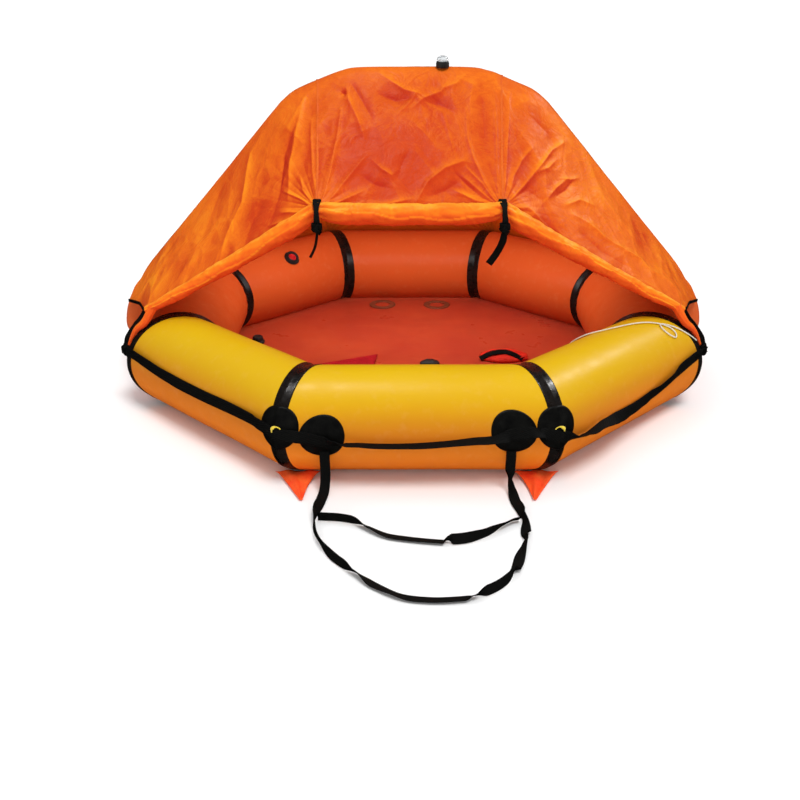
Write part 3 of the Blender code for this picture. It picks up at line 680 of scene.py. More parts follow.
def tube_rows(points, radii, facets, ripple=None):
    """Rows of points round a path; ripple gives a height by share of the path, turn and way out."""
    rows = []
    normal = None
    for k, place in enumerate(points):
        along = tangent(points, k).normalized()
        if normal is None:
            normal = along.orthogonal().normalized()
        normal = (normal - along * normal.dot(along)).normalized()
        other = along.cross(normal)
        row = []
        for i in range(facets):
            turn = 2 * math.pi * i / facets
            out = normal * math.cos(turn) + other * math.sin(turn)
            radius = radii[k] + (ripple(k / (len(points) - 1), turn, out) if ripple else 0.0)
            row.append(place + out * radius)
        rows.append(row)
    return rows


# Cords first: the lifeline, the ladder and the white lanyard

LIFELINE_LAY = TUBE_R + 0.0030
PATCH_LIFT = 0.0062
# How far a strap on its edge stands off the tube, as a share of its width
EDGE_STAND = 0.46
# The round patches by place round the ring, and how far from its middle each lifts the lifeline
FRONT_PATCHES = (0.0, -1.0, -0.17, -0.83)
BACK_PATCHES = (2.0, 3.0, 4.0, 5.0)
FRONT_PATCH_REACH = 0.085
BACK_PATCH_REACH = 0.07
# How far the straps are twisted, in degrees, by place round the ring or share of the ladder's strap
FRONT_TWIST = ((-2.0, 580), (-1.92, 552), (-1.82, 545), (-1.74, 560), (-1.66, 555), (-1.55, 532),
               (-1.45, 522), (-1.36, 500), (-1.28, 465), (-1.20, 440), (-1.12, 424), (-1.07, 418),
               (-1.03, 375), (-0.97, 360),
               (-0.945, 345), (-0.915, 290), (-0.885, 345), (-0.83, 352), (-0.79, 305), (-0.76, 288),
               (-0.58, 272), (-0.40, 265), (-0.26, 262), (-0.215, 225), (-0.17, 190), (-0.12, 180),
               (-0.08, 170), (0.0, 180), (0.10, 190), (0.35, 180), (0.6, 176), (0.8, 188), (0.93, 198),
               (1.0, 186))
BACK_TWIST = ((1.0, -30), (1.15, 0), (1.5, 20), (1.9, 0), (2.1, 0), (2.4, 90), (2.6, 180), (2.95, 180),
              (3.1, 180), (3.45, 200), (3.9, 180), (4.1, 180), (4.4, 180), (4.6, 270), (4.85, 360),
              (5.1, 360), (5.5, 340), (5.85, 360), (6.0, 400))


def patch_share(turns):
    """How far the lifeline is over a round patch, 0 to 1, by its place round the ring."""
    places = [(place, FRONT_PATCH_REACH) for place in FRONT_PATCHES]
    places += [(place, BACK_PATCH_REACH) for place in BACK_PATCHES]
    return max(1 - smooth(abs(turns - place), reach, reach + 0.05) for place, reach in places)


def lifeline(name, route, twist, node):
    stations = curve_through(route, 12)
    points = []
    across = []
    turns_here = []
    for turns, angle in stations:
        turn = keyed(turns, twist)
        lie = abs(math.sin(math.radians(turn))) * WEBBING * EDGE_STAND
        radius = LIFELINE_LAY + PATCH_LIFT * patch_share(turns) + lie
        points.append(ring_at(turns, angle, radius))
        across.append((ring_at(turns, angle + 1, radius) - ring_at(turns, angle - 1, radius)).normalized())
        turns_here.append(turn)
    strap = add_strap(name, points, twisted(points, across, turns_here), WEBBING, STRAP_THICK,
                      webbing_black, (node,))


lifeline("lifeline_front_strap", LIFELINE_FRONT, FRONT_TWIST, "lifeline_front")
lifeline("lifeline_back_strap", LIFELINE_BACK, BACK_TWIST, "lifeline_back")

LOOP_TWIST = ((0.0, 0), (0.03, 10), (0.055, 75), (0.075, 60), (0.11, 15), (0.15, 50), (0.17, 80),
              (0.215, 20), (0.235, 80), (0.25, 60), (0.30, 10), (0.33, 20), (0.345, 85), (0.37, 100),
              (0.41, 100), (0.435, 40), (0.45, 14), (0.53, 10), (0.56, 22), (0.60, 12), (0.64, 50),
              (0.67, 95), (0.70, 100), (0.75, 80), (0.80, 100), (0.90, 20), (1.0, 0))
RUNG_TWIST = ((0.0, 45), (0.08, 50), (0.20, 85), (0.32, 115), (0.36, 115), (0.385, 60), (0.40, 14),
              (0.62, 10), (0.75, 30), (0.85, 80), (1.0, 80))


def ladder_strap(name, route, twist, node):
    points = spaced(curve_through(route, 8), 0.006)
    total = len(points) - 1
    across = []
    turns = []
    for k, point in enumerate(points):
        along = tangent(points, k)
        steep = smooth(abs(along.normalized().z), 0.3, 0.8)
        level = Vector((-along.y, along.x, 0)).normalized()
        upright = Vector((math.copysign(1, level.x), 0, 0))
        across.append(level.lerp(upright, steep))
        turns.append(keyed(k / total, twist))
    lifted = []
    for point, turn in zip(points, turns):
        ground = smooth(0.05 - point.z, 0.0, 0.045)
        lie = abs(math.sin(math.radians(turn))) * LADDER_WEBBING / 2
        lifted.append(point + Vector((0, 0, (lie + LADDER_CLEAR) * ground)))
    strap = add_strap(name, lifted, twisted(lifted, across, turns), LADDER_WEBBING, LADDER_THICK,
                      webbing_black, (node,))


mirrored_side = [(-x, y, z) for x, y, z in reversed(LADDER_SIDE)]
loop_route = list(LADDER_SIDE) + [(x, y, LADDER_Z) for x, y in LADDER_LOOP] + mirrored_side
ladder_strap("ladder_loop_strap", loop_route, LOOP_TWIST, "ladder_loop")
ladder_strap("ladder_rung_strap", [(x, y, LADDER_Z) for x, y in LADDER_RUNG], RUNG_TWIST,
             "ladder_upper_rung")


def lanyard():
    points = []
    for turns, angle in curve_through(LANYARD, 6):
        points.append(ring_at(turns, angle, SKIN_R + LANYARD_R))
    rows = tube_rows(points, [LANYARD_R] * len(points), 12)
    cord = add_loft("white_lanyard", rows, white_cord, ("lanyard",))


lanyard()

# Tubes and their seam tapes

SIDE_NAMES = ("front_left", "left", "back_left", "back", "back_right", "right", "front_right", "front")
CORNER_NAMES = ("front_left", "left_front", "left_back", "back_left",
                "back_right", "right_back", "right_front", "front_right")
YELLOW_SIDES = ("front_left", "front", "front_right")
PINCH = 0.0016
PUCKER = 0.0009
LUMPS = 0.0010
TAPE_PROUD = 0.0016
TAPE_SUNK = 0.0010
TAPE_UNEVEN = 0.0003


def pinch(distance):
    return PINCH * math.exp(-(distance / 0.020) ** 2)


def tube_piece(index, name):
    """A tube between two corners, with shallow lumps and puckers at its inner seams."""
    stations = 52
    facets = 96
    rows = []
    for k in range(stations + 1):
        share = k / stations
        row = []
        for i in range(facets):
            angle = 360 * i / facets
            turn = math.radians(angle)
            low = ring_point(index, GAP / 4, angle, TUBE_R)
            high = ring_point(index + 1, -GAP / 4, angle, TUBE_R)
            place = low.lerp(high, share)
            near = min(share, 1 - share) * (high - low).length
            inner = max(-math.cos(turn), 0.0)
            pucker = PUCKER * inner * math.exp(-near / 0.05) * math.sin(turn * 26 + index)
            lumps = LUMPS * wobble(place, 5.0, 3.0) * smooth(near, 0.0, 0.03)
            row.append(place + side_direction(index, angle) * (-pinch(near) + pucker + lumps))
        rows.append(row)
    material = yellow_tube if name in YELLOW_SIDES else orange_tube
    add_loft("inflated_" + name, rows, material, ("tube_" + name,))


def tape_piece(index, name):
    """The rubber tape over a corner's seam, as a closed band."""
    facets = 120
    inner = TUBE_R - PINCH - TAPE_SUNK
    steps = (-1.0, -0.97, -0.8, -0.55, -0.3, -0.12, 0.0, 0.12, 0.3, 0.55, 0.8, 0.97, 1.0)
    rows = []
    for share in steps:
        distance = share * TAPE_HALF_WIDTH
        edge = 0.5 if abs(share) > 0.99 else 1.0
        row = []
        for i in range(facets):
            angle = 360 * i / facets
            glue = TAPE_UNEVEN * wobble(Vector((share, angle / 14, index)), 1.5)
            radius = TUBE_R - pinch(distance) + TAPE_PROUD * edge + glue
            row.append(ring_point(index, distance, angle, radius))
        rows.append(row)
    for share in (1.0, 0.3, 0.0, -0.3, -1.0):
        rows.append([ring_point(index, share * TAPE_HALF_WIDTH, 360 * i / facets, inner)
                     for i in range(facets)])
    add_loft("tape_" + name, rows, tape_black, ("seam_tape_" + name,), around=True)


for k, side_name in enumerate(SIDE_NAMES):
    tube_piece(k, side_name)
for k, corner_name in enumerate(CORNER_NAMES):
    tape_piece(k, corner_name)

# Arch


def arch_half():
    """The arch's path from its crown to the right foot, as (x, z)."""
    points = list(reversed(ARCH_LEG + ARCH_SHOULDER + ARCH_CROWN))
    for angle in reversed(ARCH_FOOT_ANGLES):
        turn = math.radians(angle)
        points.append((APOTHEM + ARCH_FOOT_REACH * math.cos(turn),
                       AXIS_Z + ARCH_FOOT_REACH * math.sin(turn)))
    return points


HALF_PATH = [Vector((x, 0, z)) for x, z in arch_half()]
ARCH_PATH = curve_through([Vector((-p.x, 0, p.z)) for p in reversed(HALF_PATH[1:])] + HALF_PATH, 6)


ARCH_END = 0.05


def arch_piece():
    """The arch's tube, rounded at both feet."""
    points = spaced(ARCH_PATH, 0.012)
    total = path_length(points)
    radii = []
    for k in range(len(points)):
        end = min(k, len(points) - 1 - k) / (len(points) - 1) * total
        close = math.sqrt(max(1 - (1 - min(end / ARCH_END, 1)) ** 2, 0.02))
        radii.append(ARCH_R * close)
    rows = tube_rows(points, radii, 32)
    add_loft("inflated_arch", rows, orange_tube, ("arch_tube",))


arch_piece()


class ArchStations:
    """Places along the arch, measured from the left foot to the right one, 0 to 1."""

    def __init__(self, points):
        self.points = points
        self.reach = [0.0]
        for a, b in zip(points, points[1:]):
            self.reach.append(self.reach[-1] + (b - a).length)

    def at(self, share):
        target = share * self.reach[-1]
        k = min(max(bisect.bisect_right(self.reach, target) - 1, 0), len(self.points) - 2)
        a, b = self.points[k], self.points[k + 1]
        t = (target - self.reach[k]) / (self.reach[k + 1] - self.reach[k])
        before = self.points[max(k - 1, 0)]
        after = self.points[min(k + 2, len(self.points) - 1)]
        along = (after - before).normalized()
        return a.lerp(b, t), Vector((-along.z, 0, along.x))

    def share_where(self, test):
        steps = 800
        for k in range(steps + 1):
            if test(self.at(k / steps)[0]):
                return k / steps
        return 1.0


arch = ArchStations(ARCH_PATH)
FOOT_X = APOTHEM + 0.218
LEFT_FOOT = arch.share_where(lambda p: p.z > HEM_FOOT_Z)
RIGHT_FOOT = 1 - LEFT_FOOT
LEFT_KNEE = arch.share_where(lambda p: p.x > -0.66)
RIGHT_KNEE = 1 - LEFT_KNEE
LEFT_SHOULDER = arch.share_where(lambda p: p.x > DOOR_SEAM_LEFT)
RIGHT_SHOULDER = arch.share_where(lambda p: p.x > DOOR_SEAM_RIGHT)
LEFT_CORNER = LEFT_FOOT + 0.42 * (LEFT_KNEE - LEFT_FOOT)
LEFT_HEM = LEFT_FOOT + 0.2 * (LEFT_KNEE - LEFT_FOOT)


def mirrored(point):
    return Vector((-point.x, point.y, point.z))


def between(value, knots, places):
    """A place read from places at knots, on straight lines."""
    for (a, b), (p, q) in zip(zip(knots, knots[1:]), zip(places, places[1:])):
        if value <= b:
            return p.lerp(q, min(max((value - a) / (b - a), 0.0), 1.0))
    return places[-1]


TIE_LEFT = Vector((DOOR_SEAM_LEFT, TIE_Y, TIE_Z))
TIE_RIGHT = Vector((DOOR_SEAM_RIGHT, TIE_Y, TIE_Z))
FOOT_FRONT = Vector((FOOT_X, -CLOTH_R, HEM_FOOT_Z))
HEM_MIDDLE = Vector((0.930, -0.190, 0.298))
FRONT_KNOTS = [LEFT_FOOT, LEFT_HEM, LEFT_CORNER, LEFT_SHOULDER,
               RIGHT_SHOULDER, 1 - LEFT_CORNER, 1 - LEFT_HEM, RIGHT_FOOT]
FRONT_PLACES = [mirrored(FOOT_FRONT), mirrored(HEM_MIDDLE), mirrored(ROLL_CORNER), TIE_LEFT,
                TIE_RIGHT, ROLL_CORNER, HEM_MIDDLE, FOOT_FRONT]
ROLL_TUCK = Vector((0, -0.006, -0.010))


def front_edge(share):
    """The lower edge of the front cloth, which ends inside the rolls."""
    tuck = smooth(share, LEFT_HEM, LEFT_CORNER) * smooth(-share, -(1 - LEFT_HEM), -(1 - LEFT_CORNER))
    return between(share, FRONT_KNOTS, FRONT_PLACES) + ROLL_TUCK * tuck


def back_hem(share, angle):
    """The back cloth's line on the tubes at one angle, from foot to foot."""
    foot = Vector((FOOT_X, CLOTH_R, HEM_FOOT_Z))
    beside = [ring_point(k, 0, angle, SKIN_R + 0.001) for k in (2, 3, 4, 5)]
    knots = [LEFT_FOOT, LEFT_KNEE, LEFT_SHOULDER, RIGHT_SHOULDER, RIGHT_KNEE, RIGHT_FOOT]
    return between(share, knots, [mirrored(foot)] + beside + [foot])


def tangent_turn(share, target):
    """How far the cloth goes round the arch before it leaves straight for its edge."""
    place, outside = arch.at(share)
    offset = target - place
    rise, reach = offset.dot(outside), abs(offset.y)
    distance = math.hypot(rise, reach)
    return max(math.atan2(reach, rise) - math.acos(min(CLOTH_R / distance, 1.0)), 0.1)


def cloth_column(share, side, count):
    """Points down the cloth at one place along the arch, at equal steps."""
    place, outside = arch.at(share)
    ends = [front_edge(share)] if side < 0 else [back_hem(share, angle) for angle in HEM_ANGLES]
    turn = tangent_turn(share, ends[0])
    line = []
    for k in range(11):
        lean = side * turn * k / 10
        line.append(place + (outside * math.cos(lean) + Vector((0, math.sin(lean), 0))) * CLOTH_R)
    line += ends
    return at_steps(line, count), path_length(line)


# Folds of the front cloth, placed where the photograph shows them: points in its pixels, the
# half width of the fold in pixels, and its height in millimetres
FRONT_FOLDS = (
    # Left flank
    (((296, 122), (284, 154), (280, 191), (269, 226)), 5.0, -4.5),
    (((304, 100), (296, 132), (290, 165), (288, 200)), 4.0, 4.0),
    (((272, 118), (251, 154), (243, 203), (227, 236), (219, 262)), 4.5, 4.2),
    (((262, 205), (252, 222), (243, 246)), 7.0, -4.0),
    (((232, 160), (216, 200), (203, 236)), 7.0, -3.0),
    (((214, 188), (198, 214), (170, 244)), 3.0, -2.6),
    (((222, 172), (206, 192), (182, 222)), 4.0, 2.4),
    (((205, 250), (186, 268), (168, 292)), 5.0, 3.0),
    (((230, 250), (212, 278), (190, 300)), 4.0, -2.6),
    (((330, 78), (306, 96), (288, 128)), 4.5, 3.2),
    # From the left tie
    (((316, 211), (296, 213), (281, 213)), 3.0, 3.6),
    (((316, 216), (294, 220), (270, 226)), 3.2, 5.0),
    (((314, 208), (300, 199), (284, 192)), 2.4, 3.0),
    (((314, 205), (303, 190), (300, 176)), 2.2, 2.4),
    (((317, 203), (312, 170), (311, 120)), 2.6, 2.6),
    (((322, 204), (330, 176), (337, 140), (341, 110)), 3.2, 4.0),
    (((324, 207), (342, 186), (356, 168), (367, 155)), 3.6, 4.6),
    (((325, 210), (345, 200), (364, 191)), 3.0, 4.2),
    (((326, 213), (356, 210), (388, 205), (412, 199)), 3.4, 4.6),
    (((328, 217), (352, 216), (380, 216)), 2.4, 2.2),
    # Door panel
    (((341, 92), (346, 94)), 4.0, -5.0),
    (((346, 88), (349, 100), (358, 120), (364, 138)), 4.0, 3.6),
    (((352, 84), (362, 100), (372, 118)), 4.0, -3.4),
    (((378, 72), (392, 82), (404, 90), (420, 94)), 3.6, 4.0),
    (((380, 94), (396, 100), (414, 98)), 6.0, -5.5),
    (((420, 88), (408, 104), (396, 116)), 4.0, 3.6),
    (((452, 78), (440, 92), (424, 98), (412, 108)), 3.6, 4.0),
    (((424, 101), (440, 104), (452, 110)), 7.0, -5.5),
    (((466, 74), (456, 84), (444, 88)), 3.0, 3.2),
    (((344, 150), (352, 138), (366, 130)), 3.0, 2.2),
    (((372, 160), (382, 170), (392, 176), (398, 170)), 3.6, 3.2),
    (((362, 176), (374, 184), (388, 188)), 6.0, -4.0),
    (((396, 180), (404, 160), (410, 150)), 4.0, -3.0),
    (((416, 203), (427, 183), (445, 169), (463, 162)), 4.0, 5.4),
    (((430, 196), (446, 190), (458, 182)), 6.0, -4.6),
    (((455, 191), (475, 201), (492, 205)), 3.6, 4.4),
    (((462, 176), (476, 188), (490, 200)), 2.4, 2.6),
    (((466, 168), (482, 184), (495, 202)), 2.4, 2.4),
    (((454, 172), (466, 184), (480, 196)), 2.4, -2.2),
    (((497, 204), (484, 182), (474, 160), (468, 140), (466, 110)), 3.2, 3.6),
    (((474, 80), (470, 104), (472, 130)), 4.0, 3.0),
    (((480, 76), (482, 110), (484, 150)), 5.0, -2.8),
    # From the right tie up and over the right flank
    (((499, 203), (497, 170), (496, 130), (494, 96)), 2.4, 2.8),
    (((503, 203), (506, 168), (508, 130), (509, 94)), 2.4, 2.8),
    (((505, 203), (514, 176), (522, 160), (532, 148)), 3.0, 3.4),
    (((507, 204), (524, 186), (540, 166), (552, 150), (563, 143)), 3.4, 4.6),
    (((512, 196), (530, 190), (542, 200), (546, 214)), 9.0, -3.4),
    (((509, 208), (528, 208), (544, 224), (551, 228)), 3.4, 4.0),
    (((543, 219), (551, 228), (560, 236)), 3.0, -4.0),
    (((534, 118), (548, 132), (558, 150)), 4.0, -2.6),
    (((538, 172), (548, 168), (556, 160)), 3.2, 3.4),
    (((548, 198), (556, 188), (566, 180)), 3.0, 3.8),
    (((556, 196), (566, 190), (572, 182)), 3.4, -3.4),
    (((560, 178), (570, 180), (578, 178)), 2.6, 3.0),
    (((566, 205), (580, 200), (594, 206)), 3.4, 2.8),
    (((572, 214), (590, 224), (606, 240)), 3.4, 3.4),
    (((588, 224), (614, 244), (641, 260), (653, 273)), 3.4, 3.8),
    (((580, 232), (604, 252), (630, 268)), 4.0, -3.0),
    (((598, 190), (616, 216), (636, 240)), 5.0, 2.6),
    (((560, 118), (582, 150), (606, 186)), 7.0, -2.4),
    (((548, 108), (570, 136), (596, 172)), 5.0, 2.4),
    (((640, 280), (656, 288), (672, 300)), 4.0, 2.6),
)


def segment_share(px, py, a, b):
    ax, ay = a
    bx, by = b
    dx, dy = bx - ax, by - ay
    t = min(max(((px - ax) * dx + (py - ay) * dy) / (dx * dx + dy * dy), 0.0), 1.0)
    return math.hypot(px - ax - t * dx, py - ay - t * dy), t


class Fold:
    """A crease laid along a line of points, sharp on its crest and fading to its ends."""

    def __init__(self, line, width, height):
        self.line = line
        self.width = width
        self.height = height / 1000
        self.low = (min(p[0] for p in line) - 4 * width, min(p[1] for p in line) - 4 * width)
        self.high = (max(p[0] for p in line) + 4 * width, max(p[1] for p in line) + 4 * width)

    def at(self, px, py):
        if not (self.low[0] < px < self.high[0] and self.low[1] < py < self.high[1]):
            return 0.0
        best = None
        count = len(self.line) - 1
        for k in range(count):
            distance, t = segment_share(px, py, self.line[k], self.line[k + 1])
            if best is None or distance < best[0]:
                best = (distance, (k + t) / count)
        distance, share = best
        ends = math.sin(math.pi * min(max(0.06 + 0.88 * share, 0), 1)) ** 0.6
        reach = distance / self.width
        return self.height * ends * math.exp(-1.25 * reach ** 1.2)


front_folds = [Fold(*fold) for fold in FRONT_FOLDS]
TIES_IN_PHOTO = ((317, 208, 0.0), (502, 208, 2.0))


def gathers(px, py):
    """Fine pleats that run out from each tie."""
    total = 0.0
    for x, y, seed in TIES_IN_PHOTO:
        distance = math.hypot(px - x, py - y)
        if distance < 90:
            bearing = math.atan2(y - py, px - x)
            wave = math.sin(bearing * 17 + seed + 0.8 * math.sin(bearing * 3 + seed))
            total += 0.0022 * (abs(wave) ** 0.7 - 0.55) * math.exp(-distance / 26) * smooth(distance, 2, 12)
    return total


def crumple(place, scale, seed):
    """Ridged noise, sharp along its creases: 0 on a flat facet to 1 on a crease."""
    bend = Vector((wobble(place, scale * 0.5, seed + 5), wobble(place, scale * 0.5, seed + 9),
                   wobble(place, scale * 0.5, seed + 13)))
    return 1 - min(abs(wobble(place + bend * 0.35 / scale, scale, seed)) * 3.2, 1.0)


def back_folds(place, share):
    """Long folds pulled from the arch to the hem's corners."""
    total = 0.0
    for index, seed in ((2, 1.0), (3, 4.0), (4, 7.0), (5, 11.0)):
        pull = ring_point(index, 0, 40, SKIN_R)
        offset = place - pull
        distance = offset.length
        bearing = math.atan2(offset.z, offset.x * (1 if index > 3 else -1))
        wave = math.sin(bearing * 15 + seed + math.sin(bearing * 5 + seed))
        fade = math.exp(-distance / 0.34)
        total += 0.0034 * (abs(wave) ** 0.8 - 0.5) * fade * smooth(distance, 0.01, 0.08)
    return total + 0.004 * wobble(Vector((share * 14, place.z * 1.2, seed)), 1.0)


def facet(place, scale, seed):
    """Flat facets that meet in creases, like those of crushed cloth: 0 at their middles to 1."""
    distances, _ = noise.voronoi(place * scale + Vector((seed, seed, seed)))
    return 1 - min((distances[1] - distances[0]) / 0.55, 1.0)


def fold_height(place, side, share):
    """How far the cloth stands out of its plain shape."""
    slack = smooth(wobble(place, 4, 31), -0.35, 0.3)
    total = 0.0035 * wobble(place, 3.2, 51)
    drawn = Vector((place.x, place.y * 0.7, place.z * 0.55 + abs(place.x) * 0.5))
    total += 0.0006 * (crumple(place, 7, 21) - 0.4) * slack
    total += 0.0050 * (facet(drawn, 8, 2.0) - 0.5) * (0.30 + 0.70 * slack)
    total += 0.0017 * (facet(drawn, 19, 5.0) - 0.5) * (0.35 + 0.65 * smooth(wobble(place, 6, 77), -0.1, 0.4))
    if side < 0:
        px, py = in_photo(place)
        total += sum(fold.at(px, py) for fold in front_folds) * 1.3 + gathers(px, py)
    else:
        total += back_folds(place, share)
    return total


# Painted shade and light on the front cloth, where it is redder or lighter: a place in the photograph, the
# spread and the amount
PAINTED_SHADING_AREAS = ((405, 155, 84, 52, -0.25), (268, 215, 24, 34, -0.16), (430, 102, 34, 12, -0.06),
              (398, 96, 24, 10, -0.06), (545, 222, 14, 10, -0.12), (181, 264, 12, 10, -0.10),
              (400, 68, 120, 11, 0.10), (290, 112, 34, 26, 0.08), (600, 190, 40, 60, 0.16),
              (205, 220, 30, 36, 0.16), (160, 285, 34, 26, 0.14), (560, 130, 34, 34, 0.08),
              (392, 207, 70, 5, 0.16), (468, 196, 12, 6, 0.12), (660, 265, 30, 30, 0.12))
TOWARDS_LIGHT = Vector((0.15, -0.30, 0.94))


def painted_area_shading(px, py):
    """The painted shade and light that the areas add at a place of the photograph."""
    return sum(amount * math.exp(-((px - x) / wide) ** 2 - ((py - y) / high) ** 2)
               for x, y, wide, high, amount in PAINTED_SHADING_AREAS)


def grid_normals(points, columns, rows):
    """Normals of a grid of points, away from the inside of the raft."""
    count = rows + 1
    normals = []
    for c in range(columns + 1):
        for r in range(count):
            across = points[min(c + 1, columns) * count + r] - points[max(c - 1, 0) * count + r]
            along = points[c * count + min(r + 1, rows)] - points[c * count + max(r - 1, 0)]
            normal = across.cross(along).normalized()
            if normal.dot(points[c * count + r] - INSIDE) < 0:
                normal = -normal
            normals.append(normal)
    return normals


# A guess of how many times its flat area the folded cloth has, and each panel's left, right and
# lower edges
FOLD_SHARE = 1.03
cloth_edges = {}


def cloth_panel(name, start, end, side, columns, rows, node):
    """One panel of the canopy between two seams, with its folds and painted shade and light in its colour.
    """
    plain = []
    reaches = []
    longest = 0.0
    for c in range(columns + 1):
        share = start + (end - start) * c / columns
        column, total = cloth_column(share, side, rows)
        longest = max(longest, total)
        plain += [place for place, _ in column]
        reaches += [(share, reach, total) for _, reach in column]
    flat_normals = grid_normals(plain, columns, rows)
    points = []
    heights = []
    for place, normal, (share, reach, total) in zip(plain, flat_normals, reaches):
        height = fold_height(place, side, share)
        free = smooth(reach, 0.03, 0.10)
        height = max(height, 0) * (0.35 + 0.65 * free) + min(height, 0) * free
        if side > 0:
            low = 1 - smooth(reach, total - 0.16, total - 0.05)
            height = max(height * low, height * low * 0.2)
        heights.append(height)
        points.append(place + normal * height)
    normals = grid_normals(points, columns, rows)
    # Painted light and shade: the tone is lighter where the folds tilt towards TOWARDS_LIGHT and where they
    # stand out, and darker where they tilt away or sink, with a random part. On the front cloth the painted
    # areas are added.
    shading_and_tones = []
    for place, height, normal, flat in zip(plain, heights, normals, flat_normals):
        tilt = (normal - flat).dot(TOWARDS_LIGHT)
        shading_and_tone = 0.50 + 1.35 * tilt + 22 * height + 0.07 * wobble(place, 2.2, 61)
        if side < 0:
            shading_and_tone += painted_area_shading(*in_photo(place))
        shading_and_tones.append(shading_and_tone)
    faces = grid_faces(columns, rows)
    a, b, c, _ = faces[len(faces) // 2]
    if (points[b] - points[a]).cross(points[c] - points[a]).dot(normals[a]) < 0:
        faces = [tuple(reversed(face)) for face in faces]
    obj = add_mesh(name, points, faces, canopy_cloth, (node,), shading_and_tone=shading_and_tones)
    cloth_edges[name] = (points[:rows + 1], points[-rows - 1:], points[rows::rows + 1])
    width = (end - start) * arch.reach[-1]
    area = sum((points[b] - points[a]).cross(points[d] - points[a]).length for a, b, _, d in faces)
    flat_area = area / FOLD_SHARE
    width *= max(flat_area / (width * longest), 1.0)
    flat = (math.ceil(width * 1000) / 1000, math.ceil(longest * 1000) / 1000)
    return obj


CLOTH_PANELS = (
    ("cloth_front", LEFT_SHOULDER, RIGHT_SHOULDER, -1, 190, 180, "canopy_front"),
    ("cloth_front_left", LEFT_FOOT, LEFT_SHOULDER, -1, 320, 170, "canopy_front_left"),
    ("cloth_front_right", RIGHT_SHOULDER, RIGHT_FOOT, -1, 320, 170, "canopy_front_right"),
    ("cloth_back", LEFT_SHOULDER, RIGHT_SHOULDER, 1, 110, 190, "canopy_back"),
    ("cloth_back_left", LEFT_FOOT, LEFT_SHOULDER, 1, 180, 170, "canopy_back_left"),
    ("cloth_back_right", RIGHT_SHOULDER, RIGHT_FOOT, 1, 180, 170, "canopy_back_right"),
)
for panel in CLOTH_PANELS:
    cloth_panel(*panel)

# Rolled door and edges

ROLL_DROP = Vector((0, -0.66, -0.75))
CORNER_DROP = Vector((0, -0.86, -0.51))
ROLL_INSET = 0.010
ROLL_LIP = 0.0042
ROLL_PLEAT = 0.0030


def roll_piece(name, start, end, bulge, thin_end, end_drop, node, pleats, swell):
    """A rolled edge of cloth: its outer layer ends in a lip, with slanting pleats at the ties."""
    steps = 220
    points = []
    radii = []
    for k in range(steps + 1):
        t = k / steps
        scale = thin_end + (1 - thin_end) * (1 - t) if thin_end < 1 else 1.0
        scale *= 1 - 0.34 * math.exp(-(t * 14) ** 2) - 0.34 * math.exp(-((1 - t) * 14) ** 2)
        place = start.lerp(end, t) + ROLL_DROP.lerp(end_drop, t) * (ROLL_R * scale + ROLL_CLEAR - 0.003)
        place.z -= bulge * 4 * t * (1 - t)
        place += Vector((0, 0.002, 0.003)) * wobble(Vector((t * 9, 0.5, 0)), 1.0, swell)
        points.append(place)
        fullness = 0.0045 + 0.0026 * wobble(Vector((t * 6, swell, 0)), 1.0, swell)
        radii.append(ROLL_R * scale + fullness)

    def ripple(share, turn, out):
        near = math.exp(-share * 9) + (math.exp(-(1 - share) * 9) if thin_end == 1 else 0)
        face = math.atan2(out.z, -out.y)
        lip_at = 0.1 + 0.35 * math.sin(share * 5 + swell) + 0.12 * math.sin(share * 23 + swell)
        below = (lip_at - face) % (2 * math.pi)
        lip = ROLL_LIP * math.exp(-below / 0.9) * (1 - 0.5 * near)
        slant = math.sin(face * 3 + share * pleats + 1.2 * math.sin(share * 17 + swell))
        second = math.sin(face * 8 - share * pleats * 2.1 + swell)
        third = math.sin(face * 2 + share * 70 + 2 * math.sin(share * 31))
        fine = 0.0011 * crumple(Vector((share * 0.6, face * 0.02, swell)), 30, swell)
        pleated = (ROLL_PLEAT * (abs(slant) ** 0.7 - 0.5) + 0.0012 * second) * (0.25 + near)
        return pleated + 0.0007 * third + lip + fine

    rows = tube_rows(points, radii, 64, ripple=ripple)
    # Painted light: each point's tone is lighter where the roll faces up and darker where it faces down,
    # with a random part.
    shading_and_tones = []
    for k, row in enumerate(rows):
        for i, place in enumerate(row):
            following = row[(i + 1) % len(row)]
            beside = rows[min(k + 1, steps)][i] - rows[max(k - 1, 0)][i]
            normal = (following - row[i - 1]).cross(beside).normalized()
            if normal.dot(place - points[k]) < 0:
                normal = -normal
            shading_and_tones.append(0.46 + 0.46 * normal.z + 0.12 * wobble(place, 18, 71))
    add_loft(name, rows, roll_cloth, (node,), shading_and_tone=shading_and_tones)


def front_end(hand, distance, angle, radius):
    """A place on the yellow tube beside its outer corner, its distance taken along the tube."""
    place = ring_point(6, distance, angle, radius)
    return mirrored(place) if hand == "left" else place


def bound_corner(hand, edge_corner):
    """The gathered end of the rolled edge, drawn down over the tube to the knot."""
    inward = Vector((math.copysign(1, -edge_corner.x), 0, 0))
    path = curve_through([edge_corner + inward * 0.030 + Vector((0, -0.012, 0.012)),
                          front_end(hand, 0.012, 58, 0.168), front_end(hand, -0.004, 47, 0.160),
                          front_end(hand, -0.018, 35, 0.156), front_end(hand, -0.030, 22, 0.155)], 10)
    total = len(path) - 1
    radii = [0.0150 - 0.0095 * (k / total) ** 0.8 for k in range(total + 1)]

    def ripple(share, turn, out):
        return 0.0022 * (abs(math.sin(turn * 4 + share * 5)) ** 0.7 - 0.5) * (1 - 0.4 * share)

    rows = tube_rows(path, radii, 40, ripple=ripple)
    # Painted light: the tone is lighter on the top of the bound corner and darker underneath.
    shading_and_tones = []
    for middle, row in zip(path, rows):
        shading_and_tones += [0.34 + 0.36 * (place - middle).normalized().z for place in row]
    add_loft("bound_corner_" + hand, rows, roll_cloth, shading_and_tone=shading_and_tones)


